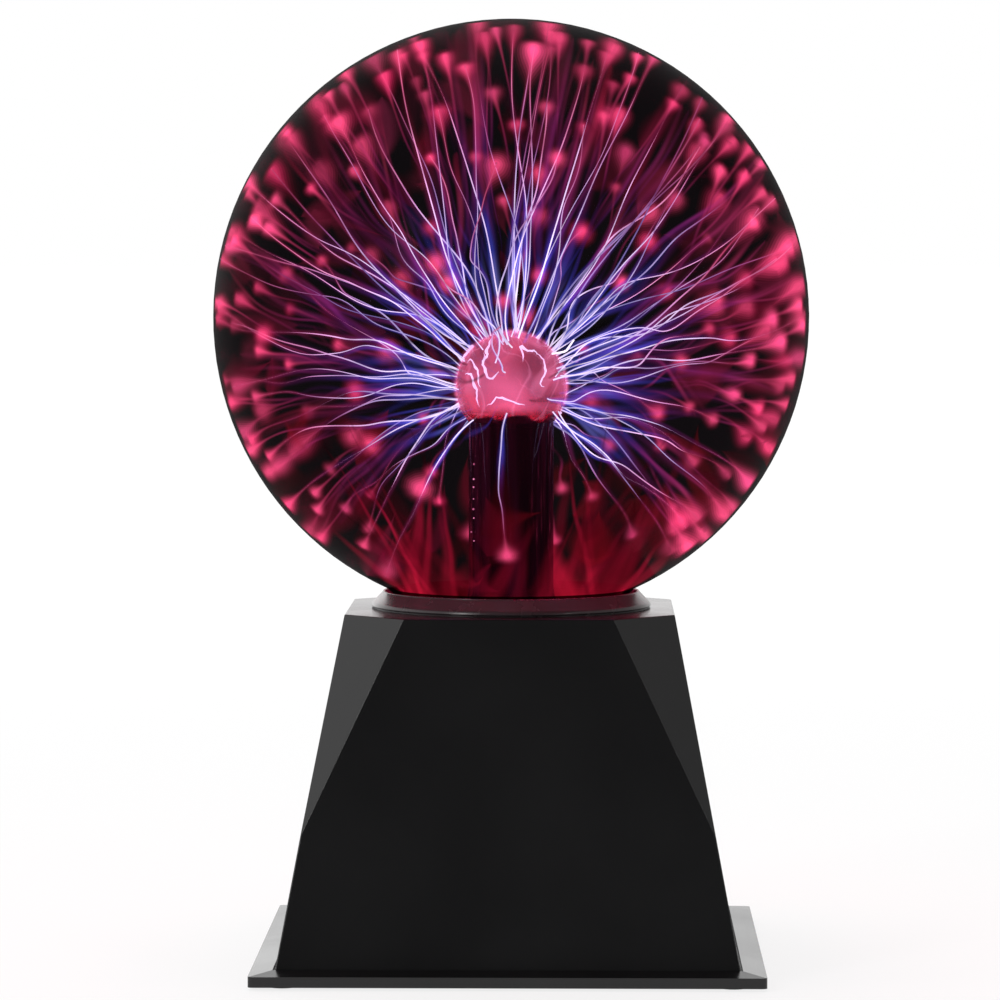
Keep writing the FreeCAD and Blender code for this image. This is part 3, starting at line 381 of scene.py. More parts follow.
FINE_EVEN = (300.0, 300.0, 300.0)
FINISHES = {
    "globe_glass": (shade_tinted_glass, GLASS_SHADE_TINT, 0.0006, 0.05, 0.20),
    "stem_glass": (stem_glass,),
    "electrode_filling": (electrode_wool,),
    "electrode_metal": (plated, (0.62, 0.46, 0.22), 0.30),
    "liner_black": (moulded, (0.006, 0.005, 0.006), 0.6),
    "base_plastic": (base_plastic,),
    "collar_plastic": (collar_plastic,),
    "inner_plastic": (moulded, (0.02, 0.02, 0.021), 0.5),
    "seal_rubber": (moulded, (0.012, 0.012, 0.012), 0.75, 900.0, 0.00006),
    "foot_rubber": (moulded, (0.018, 0.018, 0.018), 0.8, 700.0, 0.00008),
    "screw_steel": (plated, (0.55, 0.55, 0.57), 0.28, FINE_EVEN),
    "board_laminate": (board_laminate,),
    "ferrite": (moulded, (0.045, 0.045, 0.048), 0.55, 1500.0, 0.00003),
    "bobbin_nylon": (moulded, (0.58, 0.55, 0.47), 0.45, 2600.0, 0.00002, 0.1),
    "coil_tape": (wound, (0.42, 0.24, 0.03), 0.25, 500.0),
    "copper_wire": (wound, (0.62, 0.24, 0.08), 0.25, 900.0, 1.0),
    "heatsink_aluminium": (plated, (0.60, 0.61, 0.63), 0.35, (60.0, 60.0, 900.0)),
    "component_epoxy": (moulded, (0.014, 0.014, 0.016), 0.42, 1800.0, 0.00003),
    "can_sleeve": (moulded, (0.012, 0.022, 0.11), 0.25, 600.0, 0.00001),
    "film_box": (moulded, (0.34, 0.03, 0.012), 0.22, 500.0, 0.00002),
    "resistor_body": (resistor_body,),
    "cable_silicone": (moulded, (0.50, 0.48, 0.45), 0.5, 900.0, 0.00002),
    "lead_red": (moulded, (0.42, 0.008, 0.008), 0.35),
    "lead_black": (moulded, (0.012, 0.012, 0.012), 0.35),
    "lead_white": (moulded, (0.62, 0.62, 0.60), 0.4),
    "nickel_plate": (plated, (0.66, 0.64, 0.60), 0.18, (200.0, 200.0, 200.0)),
    "switch_knob": (moulded, (0.014, 0.014, 0.015), 0.45, 1400.0, 0.00005),
    "phenolic": (moulded, (0.16, 0.07, 0.03), 0.5, 400.0, 0.00002),
}


def dress_cad_nodes():
    """Gives every CAD node the material of its slot."""
    made = {}
    for part in frame["record"]["subparts"]:
        slot = part["material_slot"]
        if slot not in made:
            finish, *details = FINISHES[slot]
            made[slot] = finish(slot, *details)
        piece = frame["nodes"][part["node"]]
        piece.data.materials.clear()
        piece.data.materials.append(made[slot])


# ---- discharge: shapes ----
rng = np.random.default_rng(SEED)
FILAMENTS = 290
GHOSTS = 46
GHOST_COPIES = 5
CLOUDS = 150
NECK_CLOUDS = 24
FLAMES = 46
ROOTS = 62                 # places on the bulb that filaments gather towards
VEINS = 44
# Glint dots: tiny glowing specks down the stem, painted glints of light on the stem glass.
SPARKS = 15
GLINT_DOTS = 9
GLINT_DOTS_FROM, GLINT_DOTS_TO = 23.0, 52.0    # mm below the bulb's middle
BRIGHT_SHARE = 0.50        # share of the filaments that have a bright thread
DIM_SHEATH = 0.35          # sheath level of the other filaments
KINK = [(14.0, -13.5, 11.6), (18.1, -12.0, 12.3), (19.0, -11.8, 12.8), (21.5, -11.0, 16.4)]
NECK_CONE = -0.84          # ends lower than this on the globe would be in the neck
SHOULDER_LOW, SHOULDER_HIGH = -0.90, -0.70
END_R = GLOBE_R - 0.25 * MM    # the wall magnifies the glow out to the edge of the glass
NECK_OPEN_R = 38.0 * MM
NECK_OPEN_TOP = GLOBE_C[2] - 90.0 * MM
CLEAR_OF_ENDS = 30 * MM    # round the line of sight to the bulb, no filament ends
CLEAR_OF_CLOUDS = 45 * MM
OWN_MARGIN = 0.35 * MM     # most that one path's layers keep off the glass
LAYER_GAP = 0.05 * MM      # what each layer keeps off the next one out
THINNEST = 0.02 * MM
HALO_GAPS = np.array([0.10, 0.24, 0.42, 0.64, 0.88, 1.2, 1.7]) * MM
HALO_WEIGHTS = np.array([0.11, 0.14, 0.17, 0.20, 0.17, 0.08, 0.04]) * 0.46
GOLDEN = 0.618
COATED_RISE_LOW, COATED_RISE_HIGH = -0.48, 1.5    # angles above the bulb's middle
PATH_AT = np.concatenate([np.linspace(0.0, 0.76, 32), np.linspace(0.78, 1.0, 16)])


def unit(v):
    return v / np.linalg.norm(v, axis=-1, keepdims=True)


def smooth(x, low, high):
    t = np.clip((x - low) / (high - low), 0.0, 1.0)
    return t * t * (3 - 2 * t)


def spread_ends(count, scatter=0.055, low=NECK_CONE):
    """Directions spread evenly over the globe with some scatter, clear of the neck."""
    i = np.arange(count) + 0.5
    z = 1 - (1 - low) * i / count
    turn = i * math.pi * (3 - math.sqrt(5))
    flat = np.sqrt(1 - z * z)
    ends = np.stack([flat * np.cos(turn), flat * np.sin(turn), z], 1)
    ends = unit(ends + rng.normal(0, scatter, ends.shape))
    ends[:, 2] = np.maximum(ends[:, 2], low)
    return unit(ends)


def keep_inside(points, margin=0.0):
    """Pulls points that would cross the glass back to just inside it; the neck stays open."""
    away = points - GLOBE_C
    reach = np.linalg.norm(away, axis=-1, keepdims=True)
    off_axis = np.linalg.norm(points[..., :2], axis=-1, keepdims=True)
    in_neck = (off_axis < NECK_OPEN_R) & (points[..., 2:] < NECK_OPEN_TOP)
    return GLOBE_C + away * np.where(in_neck, 1.0, np.minimum(1.0, (END_R - margin) / reach))


def bezier(p0, p1, p2, p3, t):
    t = t[None, :, None]
    p0, p1, p2, p3 = (p[:, None, :] for p in (p0, p1, p2, p3))
    return (1 - t) ** 3 * p0 + 3 * (1 - t) ** 2 * t * p1 + 3 * (1 - t) * t * t * p2 + t ** 3 * p3


def wander(count, t, size):
    """Smooth sideways wander, strongest mid-way: (count, len(t), 3)."""
    total = np.zeros((count, len(t), 3))
    for cycles, share in ((1.0, 1.0), (2.1, 0.6), (4.1, 0.10)):
        phase = rng.uniform(0, 2 * math.pi, (count, 1, 3))
        speed = cycles * rng.uniform(0.8, 1.2, (count, 1, 3))
        total += share * np.sin(2 * math.pi * speed * t[None, :, None] + phase)
    envelope = np.sin(math.pi * np.clip(t, 0, 1)) ** 0.8
    return total * envelope[None, :, None] * size[:, None, None]


def filament_paths(ends):
    """Curves from the bulb to the glass, which they meet nearly square on."""
    count = len(ends)
    finish = GLOBE_C + ends * END_R
    aim = unit(finish - BULB_C + rng.normal(0, 5 * MM, ends.shape))
    roots = spread_ends(ROOTS, 0.3)
    nearest = roots[np.argmax(aim @ roots.T, 1)]
    pull = rng.uniform(0.1, 0.9, (count, 1))
    aim = unit(aim * (1 - pull) + nearest * pull + rng.normal(0, 0.03, aim.shape))
    aim[:, 2] = np.maximum(aim[:, 2], -0.34 + rng.uniform(-0.12, 0.16, count))
    aim = unit(aim)
    start = BULB_C + aim * (BULB_R + 0.2 * MM)
    length = np.linalg.norm(finish - start, axis=1, keepdims=True)
    low_side = smooth(-ends[:, 2:3], 0.0, 0.5)
    lean = 0.30 * (1 - low_side) - 0.25 * low_side
    p1 = start + unit(aim + rng.normal(0, 0.26, aim.shape)) * length * 0.32
    into = unit(ends * 0.75 + UP * lean + rng.normal(0, 0.12, ends.shape))
    p2 = finish - into * length * 0.34
    paths = bezier(start, p1, p2, finish, PATH_AT)
    side = 1 - np.abs(ends[:, 2])
    paths += wander(count, PATH_AT, (0.5 + 2.0 * side * rng.uniform(0.4, 1.3, count)) * MM)
    return keep_inside(paths)


def swept_copies(paths, copies, spread):
    """Faint copies of each path fanned out sideways, as a moving filament leaves them."""
    along = unit(paths[:, -1] - paths[:, 0])
    side = unit(np.cross(along, rng.normal(0, 1, along.shape)))
    shift = rng.uniform(-1, 1, (len(paths), copies)) * spread
    grow = PATH_AT[None, None, :, None] ** 1.3
    fanned = paths[:, None] + side[:, None, None, :] * shift[:, :, None, None] * grow
    fanned = fanned.reshape(-1, len(PATH_AT), 3)
    return keep_inside(fanned + wander(len(fanned), PATH_AT, np.full(len(fanned), 0.5 * MM)))


def frames(paths):
    """Two directions square to each path at each of its points."""
    along = unit(np.gradient(paths, axis=1) + 1e-9)
    mean = unit(paths[:, -1] - paths[:, 0])
    steep = np.abs(mean[:, 2:3]) >= 0.8
    pick = np.where(steep, np.array([[1.0, 0.0, 0.0]]), UP[None, :])
    across = unit(np.cross(along, pick[:, None, :]))
    return across, np.cross(along, across)


def turned(across, upward, angle):
    c, s = np.cos(angle)[:, None, None], np.sin(angle)[:, None, None]
    return across * c + upward * s, upward * c - across * s


def tubes(name, paths, wide, tall, sides, marks, turn=None, margin=0.0):
    """One mesh of closed tubes: wide and tall are half-sizes at each point of each path."""
    count, steps, _ = paths.shape
    across, upward = frames(paths)
    if turn is not None:
        across, upward = turned(across, upward, turn)
    angle = np.arange(sides) * 2 * math.pi / sides
    ring = (across[:, :, None, :] * (np.cos(angle)[None, None, :, None] * wide[:, :, None, None])
            + upward[:, :, None, :] * (np.sin(angle)[None, None, :, None] * tall[:, :, None, None]))
    points = keep_inside(paths[:, :, None, :] + ring, margin).reshape(-1, 3)
    first = np.arange(count)[:, None, None] * steps * sides
    row = first + np.arange(steps - 1)[None, :, None] * sides
    here = np.arange(sides)
    after = (here + 1) % sides
    corners = [row + here, row + after, row + sides + after, row + sides + here]
    quads = np.stack(corners, -1).reshape(-1, 4)
    ends = [np.arange(sides)[::-1], (steps - 1) * sides + np.arange(sides)]
    caps = (first + np.stack(ends)[None]).reshape(-1, sides)
    mesh = bpy.data.meshes.new(name)
    faces = quads.tolist() + caps.tolist()
    mesh.from_pydata(points.tolist(), [], faces)
    for key, values in marks.items():
        layer = mesh.attributes.new(key, "FLOAT", "POINT")
        values = np.broadcast_to(values, (count, steps))
        layer.data.foreach_set("value", np.repeat(values.reshape(-1), sides).astype(np.float32))
    mesh.polygons.foreach_set("use_smooth", [True] * len(faces))
    mesh.update()
    piece = bpy.data.objects.new(name, mesh)
    bpy.context.collection.objects.link(piece)
    return piece


def glowing_piece(piece, material):
    """A discharge piece casts no shadow and is not used as a lamp."""
    piece.data.materials.append(material)
    piece.visible_shadow = False
    piece.visible_diffuse = False
    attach(piece, BODY)


def soft_tubes(name, material, paths, wide, tall, level, hue, shells, sides=8, sharp=0.6):
    """Nested layers that together fade from the middle of each path outwards.

    Every layer stops a little further from the glass than the one round it, so that no two
    layers lie in the same place.
    """
    count = len(paths)
    shares = np.linspace(0.3, 1.0, shells)
    parts = shares * np.exp(-(shares / sharp) ** 2)
    turn = rng.uniform(0, math.pi, count)
    own_margin = rng.uniform(0.0, OWN_MARGIN, (count, 1, 1, 1))
    for i, (share, part) in enumerate(zip(shares, parts / parts.sum())):
        margin = own_margin + (shells - i) * LAYER_GAP
        piece = tubes(f"{name}_{i + 1}", paths, wide * share, tall * share, sides,
                      {"hue": hue, "glow": level * part / 2}, turn, margin)
        glowing_piece(piece, material)


def soft_drops(name, material, middle, axis, radius, length, level, hue, shells=8, sharp=0.45):
    """Nested drops, pointed behind and blunt in front, that fade and redden outwards."""
    count = len(middle)
    v = np.linspace(0, 1, 14)
    drop = np.sin(math.pi * v ** 1.8).clip(0, 1)[None, :] ** 0.75
    shares = np.linspace(0.2, 1.0, shells)
    parts = shares * np.exp(-(shares / sharp) ** 2)
    turn = rng.uniform(0, math.pi, count)
    own_margin = rng.uniform(0.0, OWN_MARGIN, (count, 1, 1, 1))
    for i, (share, part) in enumerate(zip(shares, parts / parts.sum())):
        along = (v - 0.68)[None, :, None] * length[:, :, None] * share
        ring = radius * drop * share + 0.01 * MM
        marks = {"hue": hue + 0.07 * share + 0 * ring, "glow": level * part / 2 + 0 * ring}
        margin = own_margin + (shells - i) * LAYER_GAP
        paths = middle[:, None] + axis[:, None] * along
        piece = tubes(f"{name}_{i + 1}", paths, ring, ring, 12, marks, turn, margin)
        glowing_piece(piece, material)


# ---- discharge: materials ----
HUES = [
    (0.00, (0.60, 0.62, 1.00)),
    (0.15, (0.085, 0.115, 0.90)),
    (0.35, (0.14, 0.070, 0.80)),
    (0.50, (0.42, 0.060, 0.60)),
    (0.65, (0.90, 0.072, 0.46)),
    (0.74, (1.00, 0.072, 0.34)),
    (0.82, (1.00, 0.092, 0.23)),
    (0.90, (0.90, 0.020, 0.14)),
    (1.00, (0.88, 0.014, 0.042)),
]

HALO_HUES = [(0.0, (0.94, 0.19, 0.40)), (1.0, (0.90, 0.10, 0.30))]


def scaled_colour(s, colour, level):
    grey = s.add("ShaderNodeCombineXYZ")
    for socket in grey.inputs:
        s.join(level, socket)
    return s.mix(1.0, colour, grey.outputs[0], "MULTIPLY")


def glow_material(name, stops, patchy):
    """One layer of glow: it adds a little light and hides almost nothing."""
    s = Shader(name)
    shader = s.principled(Alpha=GLOW_ALPHA, Emission_Strength=GLOW_STRENGTH, IOR=1.0, Roughness=1.0)
    shader.inputs["Base Color"].default_value = (0, 0, 0, 1)
    patches = s.uneven(s.noise(55.0, 1.0), 1 - patchy, 1 + patchy)
    level = s.maths("MULTIPLY", s.attribute("glow"), patches)
    colour = s.ramp(s.attribute("hue"), stops)
    s.join(scaled_colour(s, colour, level), shader.inputs["Emission Color"])
    s.material.cycles.emission_sampling = "NONE"
    return s.material


def core_material():
    """The bright thread in the middle of a filament: white where strong, coloured where weak."""
    s = Shader("discharge_core")
    shader = s.principled(Emission_Strength=CORE_STRENGTH, IOR=1.0, Roughness=1.0)
    shader.inputs["Base Color"].default_value = (0, 0, 0, 1)
    patches = s.uneven(s.noise(120.0, 1.0), 0.85, 1.15)
    level = s.maths("MULTIPLY", s.attribute("glow"), patches)
    hue = s.attribute("hue")
    strong = s.ramp(hue, [
        (0.00, (0.90, 0.85, 1.00)), (0.35, (0.80, 0.68, 1.00)), (0.60, (0.95, 0.46, 0.85)),
        (0.80, (0.95, 0.34, 0.60)), (1.00, (0.75, 0.12, 0.25)),
    ])
    weak = s.ramp(hue, [
        (0.00, (0.34, 0.38, 1.00)), (0.35, (0.40, 0.28, 0.95)), (0.60, (0.75, 0.22, 0.70)),
        (0.80, (0.90, 0.18, 0.42)), (1.00, (0.75, 0.06, 0.15)),
    ])
    colour = s.mix(s.span(level, 0.25, 0.95), weak, strong)
    s.join(scaled_colour(s, colour, level), shader.inputs["Emission Color"])
    s.material.cycles.emission_sampling = "NONE"
    return s.material


# ---- discharge: pieces ----
def rounded_end(t, start):
    """1 along the path, closing to 0 as a half circle between start and the end."""
    closing = np.clip((t - start) / (1 - start), 0, 1)
    return np.sqrt(np.clip(1 - closing ** 2, 0.0, 1.0))


def vary(low, high, count):
    return rng.uniform(low, high, (count, 1))


def in_front_of_bulb(points, reach):
    """Whether points lie on the part of the globe's front through which the bulb is seen."""
    across = np.hypot(points[:, 0] - BULB_C[0], points[:, 2] - BULB_C[2])
    return (points[:, 1] < 0) & (across < reach)


def fewer_in_front(paths):
    """Few filaments run straight out of the front of the bulb, and none end in front of it."""
    aim = unit(paths[:, 6] - BULB_C)
    chance = 1 - 0.9 * smooth(-aim[:, 1], 0.38, 0.72)
    kept = (rng.random(len(paths)) < chance) & ~in_front_of_bulb(paths[:, -1], CLEAR_OF_ENDS)
    return paths[kept]


def sheaths(glow, paths, power, hue_shift):
    """The blue and violet glow that clings to each thread near the bulb."""
    n, t = len(paths), PATH_AT[None, :]
    opening = 0.3 + 0.7 * smooth(t, 0.0, 0.35)
    closing = 1 - 0.4 * smooth(t, 0.5, 1.0)
    wide = vary(1.0, 3.0, n) * MM * opening * closing
    tall = vary(0.5, 0.9, n) * MM * (0.5 + 0.5 * smooth(t, 0.0, 0.3))
    level = power * (0.34 * (1 - smooth(t, 0.15, 0.58)) + 0.05 * (1 - smooth(t, 0.6, 0.95)))
    hue = 0.14 + 0.43 * smooth(t, 0.20, 0.64) + 0.14 * smooth(t, 0.6, 0.9)
    hue = np.clip(hue + hue_shift * smooth(t, 0.02, 0.3), 0.1, 0.9)
    drift = unit(rng.normal(0, 1, (n, 1, 3))) * (0.9 * MM * np.sin(math.pi * t[:, :, None]))
    soft_tubes("discharge_sheath", glow, paths + drift, wide, tall, level, hue, 4, 6)


def tips(glow, paths):
    """Where a filament meets the glass: a thin stalk that ends in a soft drop."""
    n = len(paths)
    late = PATH_AT >= 0.60
    t = PATH_AT[late][None, :]
    size = (3.8 + 4.0 * vary(0, 1, n) ** 1.5) * MM
    stalk = vary(0.6, 1.0, n) * MM
    radius = stalk + (0.42 * size - stalk) * smooth(t, 0.86, 1.0) ** 1.5
    faint = vary(0.35, 1.0, n)
    level = faint * (0.17 * smooth(t, 0.6, 0.85) + 0.20 * smooth(t, 0.85, 1.0))
    hue = 0.66 + 0.15 * smooth(t, 0.62, 0.93) + 0 * level
    soft_tubes("discharge_stalk", glow, paths[:, late], radius, radius, level, hue, 5, 8, sharp=0.5)
    axis = unit(paths[:, -1] - paths[:, -7])
    length = size * vary(1.8, 4.0, n)
    middle = paths[:, -1] - axis * length * vary(0.02, 0.16, n)
    hue = 0.80 + rng.normal(0, 0.02, (n, 1))
    soft_drops("discharge_tip", glow, middle, axis, size, length, 1.12 * faint, hue)


def threads(core, paths, power):
    """The bright threads: they fade out part of the way, the upper ones last."""
    n, t = len(paths), PATH_AT[None, :]
    high = smooth(paths[:, -1:, 2], BULB_C[2] - 10 * MM, BULB_C[2] + 60 * MM)
    reach = vary(0.42, 0.92, n) * (1 - high) + vary(0.72, 1.35, n) * high
    radius = vary(0.15, 0.26, n) * MM * (1.15 - 0.35 * t)
    radius = np.maximum(radius * (1 - smooth(t, reach - 0.15, reach)), 0.012 * MM)
    level = 0.97 * np.clip(power, 0.40, 1.25) * (1.0 - 0.28 * smooth(t, 0.35, 0.9))
    level = np.maximum(level, 0.95 * (1 - smooth(t, 0.03, 0.16)))
    hue = np.clip(0.10 + 0.75 * smooth(t, 0.15, 0.95) + rng.normal(0, 0.08, (n, 1)), 0, 1)
    marks = {"hue": hue, "glow": level}
    glowing_piece(tubes("discharge_threads", paths, radius, radius, 6, marks), core)


def ghosts(glow):
    """Broad faint trails left by filaments that moved."""
    paths = filament_paths(spread_ends(GHOSTS, 0.15))
    paths = swept_copies(fewer_in_front(paths), GHOST_COPIES, 7 * MM)
    n, t = len(paths), PATH_AT[None, :]
    wide = vary(0.6, 3.4, n) * MM * (0.35 + 0.65 * t) * rounded_end(t, 0.9) + THINNEST
    tall = vary(0.5, 1.5, n) * MM * (0.35 + 0.65 * t) * rounded_end(t, 0.9) + THINNEST
    rising, fading = smooth(t, 0.25, 0.65), 1 - 0.6 * smooth(t, 0.8, 1.0)
    level = (0.01 + 0.12 * vary(0, 1, n) ** 2) * rising * fading
    hue = 0.28 + 0.34 * smooth(t, 0.2, 0.55) + 0.20 * smooth(t, 0.55, 0.95)
    hue = np.clip(hue + rng.normal(0, 0.06, (n, 1)), 0.15, 1)
    soft_tubes("discharge_ghost", glow, paths, wide, tall, level, hue, 4, 6)


def low_ends(count):
    """Directions to the globe's shoulder, just above the neck."""
    turn = rng.uniform(0, 2 * math.pi, count)
    z = rng.uniform(SHOULDER_LOW, SHOULDER_HIGH, count)
    flat = np.sqrt(1 - z * z)
    return np.stack([flat * np.cos(turn), flat * np.sin(turn), z], 1)


def clouds(glow):
    """Soft short plumes against the glass, denser and redder low down."""
    ends = np.concatenate([spread_ends(CLOUDS, 0.2), low_ends(NECK_CLOUDS)])
    ends = ends[~in_front_of_bulb(GLOBE_C + ends * END_R, CLEAR_OF_CLOUDS)]
    n = len(ends)
    low = smooth(-ends[:, 2:3], -0.2, 0.6)
    t = np.linspace(0.0, 1.0, 14)
    finish = GLOBE_C + ends * END_R
    heading = unit(ends + rng.normal(0, 0.5, ends.shape) - low * 0.6 * UP)
    start = finish - heading * vary(8, 30, n) * MM
    bend = rng.normal(0, 2.5 * MM, (n, 1, 3)) * np.sin(math.pi * t)[None, :, None]
    paths = keep_inside(start[:, None] + (finish - start)[:, None] * t[None, :, None] + bend)
    t = t[None, :]
    shape = np.sin(math.pi * np.clip(t, 0, 1) ** vary(0.9, 2.4, n)) ** 0.8
    wide = vary(5.0, 14.0, n) * MM * shape + THINNEST
    tall = vary(2.5, 7.0, n) * MM * shape + THINNEST
    level = (0.003 + 0.070 * vary(0, 1, n) ** 2 + 0.012 * low) * np.ones_like(t)
    hue = np.clip(0.85 + 0.12 * low + rng.normal(0, 0.04, (n, 1)), 0, 1)
    soft_tubes("discharge_cloud", glow, paths, wide, tall, level, hue, 8, 12)


def flames(glow):
    """Deep red streaks that rise from the neck, lean across each other and fade."""
    n = FLAMES
    turn = (np.arange(n) + rng.uniform(0, 0.9, n)) * 2 * math.pi / n
    lean = turn + rng.normal(0, 0.42, n)
    out = np.stack([np.cos(turn), np.sin(turn), np.zeros(n)], 1)
    aside = np.stack([np.cos(lean), np.sin(lean), np.zeros(n)], 1)
    foot = out * vary(31, 35, n) * MM + UP * (COLLAR_TOP - 7.0 * MM)
    lift = vary(22, 60, n) * MM
    head = aside * vary(40, 74, n) * MM + UP * COLLAR_TOP + UP * lift
    t = np.linspace(0, 1, 18)
    bend = aside * vary(-5, 3, n) * MM
    paths = bezier(foot, foot * 0.7 + head * 0.3 + bend, foot * 0.4 + head * 0.6 + bend, head, t)
    paths = keep_inside(paths + wander(n, t, np.full(n, 0.6 * MM)))
    t = t[None, :]
    taper = 1 - 0.75 * smooth(t, 0.05, 1.0)
    wide = (1.5 + 6.0 * vary(0, 1, n) ** 1.5) * MM * taper * rounded_end(t, 0.75)
    side = 0.25 + 0.75 * smooth(np.abs(foot[:, :1]), 4 * MM, 22 * MM)
    level = side * (0.02 + 0.32 * vary(0, 1, n) ** 1.8) * (1 - smooth(t, 0.25, 1.0))
    hue = 0.99 - 0.06 * t + 0 * level
    tall = 0.6 * wide + THINNEST
    soft_tubes("discharge_flame", glow, paths, wide + THINNEST, tall, level, hue, 8, 10)


def bulb_halo(glow):
    """The pink glow that wraps the coated part of the bulb; it is brightest at the bulb's edge."""
    steps = 32
    for i, (gap, weight) in enumerate(zip(HALO_GAPS, HALO_WEIGHTS)):
        radius = BULB_R + gap
        low = math.acos((COATING_LOW - BULB_C[2]) / radius)
        angle = np.linspace(0.01, low, steps)[None, :]
        path = np.zeros((1, steps, 3))
        path[:, :, 2] = BULB_C[2] + radius * np.cos(angle)
        ring = radius * np.sin(angle)
        marks = {"hue": 0 * angle, "glow": weight * smooth(low - angle, 0.0, 0.2)}
        glowing_piece(tubes(f"discharge_halo_{i + 1}", path, ring, ring, 64, marks), glow)


def bulb_walks(count, steps, stride, lowest, highest):
    """Wandering paths over the coated part of the bulb, as directions from its middle."""
    turn = (np.arange(count) + rng.uniform(0, 0.6, count)) * 2 * math.pi * GOLDEN
    rise = rng.uniform(lowest, highest, count)
    heading = rng.uniform(0, 2 * math.pi, (count, 1))
    heading = heading + np.cumsum(rng.normal(0, 0.45, (count, steps)), 1)
    turn = turn[:, None] + np.cumsum(np.cos(heading) * stride, 1)
    rise = rise[:, None] + np.cumsum(np.sin(heading) * stride, 1)
    rise = np.clip(rise, COATED_RISE_LOW, COATED_RISE_HIGH)
    return np.stack([np.cos(turn) * np.cos(rise), np.sin(turn) * np.cos(rise), np.sin(rise)], -1)


def bulb_veins(glow):
    """Soft pink tendrils that lie on the coated bulb."""
    steps = 20
    aim = bulb_walks(VEINS, steps, 0.05, -0.45, 1.35)
    t = np.linspace(0, 1, steps)[None, :]
    radius = vary(0.25, 0.60, VEINS) * MM * np.sin(math.pi * (0.04 + 0.92 * t))
    level = vary(0.03, 0.30, VEINS) + 0 * t
    paths = BULB_C + aim * (BULB_R + 0.15 * MM)
    soft_tubes("discharge_vein", glow, paths, radius, radius, level, 0 * t, 3, 6)


def bulb_sparks(core):
    """Bright short squiggles that crawl over the bulb, and one that stands off beside it."""
    steps = 16
    aim = bulb_walks(SPARKS, steps, 0.055, -0.38, 0.6)
    t = np.linspace(0, 1, steps)[None, :]
    lumps = 1 + 0.7 * np.sin(3 * math.pi * t) ** 10
    radius = vary(0.24, 0.44, SPARKS) * MM * np.sin(math.pi * (0.08 + 0.9 * t)) * lumps
    marks = {"hue": 0.35 + 0.15 * t, "glow": 1.15 + 0 * t}
    paths = BULB_C + aim * (BULB_R + 0.5 * MM)
    glowing_piece(tubes("discharge_sparks", paths, radius, radius, 6, marks), core)
    corners = np.array(KINK) * MM
    along = np.linspace(0, 1, steps)
    knots = np.linspace(0, 1, len(corners))
    bent = np.stack([np.interp(along, knots, corners[:, i]) for i in range(3)], 1)[None] + BULB_C
    radius = 0.42 * MM * (1 - 0.6 * np.abs(t - 0.45))
    marks = {"hue": 0 * t, "glow": 1.3 + 0 * t}
    glowing_piece(tubes("discharge_kink", bent, radius, radius, 6, marks), core)


def stem_painted_glints(core):
    """A row of tiny glowing dots down one side of the stem: painted glints of light caught by
    specks on the stem glass.
    """
    depth = np.linspace(GLINT_DOTS_FROM, GLINT_DOTS_TO, GLINT_DOTS) + rng.uniform(-1.0, 1.0, GLINT_DOTS)
    middle = np.stack([
        -0.88 * STEM_R + rng.normal(0, 0.3 * MM, GLINT_DOTS),
        np.full(GLINT_DOTS, -0.50 * STEM_R),
        BULB_C[2] - depth * MM,
    ], 1)
    size = vary(0.18, 0.38, GLINT_DOTS) * MM
    t = np.linspace(-1, 1, 8)
    paths = middle[:, None] + UP * t[None, :, None] * size[:, :, None]
    radius = size * np.sqrt(np.maximum(1 - t[None, :] ** 2, 0.01))
    marks = {"hue": 0.85 + 0 * radius, "glow": vary(0.25, 0.9, GLINT_DOTS) + 0 * radius}
    glowing_piece(tubes("discharge_painted_glints", paths, radius, radius, 8, marks), core)


def discharge():
    glow = glow_material("discharge_glow", HUES, 0.25)
    halo = glow_material("discharge_halo", HALO_HUES, 0.55)
    core = core_material()
    paths = fewer_in_front(filament_paths(spread_ends(FILAMENTS)))
    power = np.clip(rng.lognormal(-0.05, 0.4, (len(paths), 1)), 0.35, 1.7)
    bright = rng.random(len(paths)) < BRIGHT_SHARE
    shift = np.clip(rng.normal(0.02, 0.14, power.shape), -0.05, 0.5)
    sheaths(glow, paths, power * np.where(bright, 1.0, DIM_SHEATH)[:, None], shift)
    tips(glow, paths)
    threads(core, paths[bright], power[bright])
    ghosts(glow)
    clouds(glow)
    flames(glow)
    bulb_halo(halo)
    bulb_veins(halo)
    bulb_sparks(core)
    stem_painted_glints(core)


# ---- stage, lights and camera ----
CAMERA_AT = (0.0244, -1.6353, 0.2453)
CAMERA_TURN = 0.988        # degrees
CAMERA_DOWN = 3.125
LENS = 172.3
SENSOR = 36.0
FARTHEST = 50.0
FLOOR_R = 40.0
FLOOR_SIDES = 64
FLOOR_FADE = 1.5           # beyond this the floor glows evenly, like a lit backdrop
FLOOR_NEAR_GLOW = 0.78
FLOOR_GLOW = 1.02
FRONT_LEVEL = 0.10         # the studio's light from in front, from the right and from the left
RIGHT_LEVEL = 0.55
LEFT_LEVEL = 1.35
FAR_BACK_LIFT = 1.8
LAYERS_SEEN_THROUGH = 1024
DISCHARGE_RED = (1.0, 0.07, 0.18)
SOFTBOXES = [
    ("front_left", (-1.5, -1.6, 1.1), (0.35, 1.2), 14.0),
    ("front_right", (1.6, -1.5, 1.1), (0.25, 1.0), 4.0),
    ("overhead", (0.0, 0.6, 2.4), (1.6, 1.6), 12.0),
]
SOFTBOX_AIM = (0, 0, 0.1)


def camera():
    data = bpy.data.cameras.new("camera")
    data.lens = LENS
    data.sensor_width = SENSOR
    data.clip_end = FARTHEST
    eye = bpy.data.objects.new("camera", data)
    eye.location = CAMERA_AT
    eye.rotation_euler = (math.radians(90 - CAMERA_DOWN), 0.0, math.radians(CAMERA_TURN))
    bpy.context.collection.objects.link(eye)
    bpy.context.scene.camera = eye


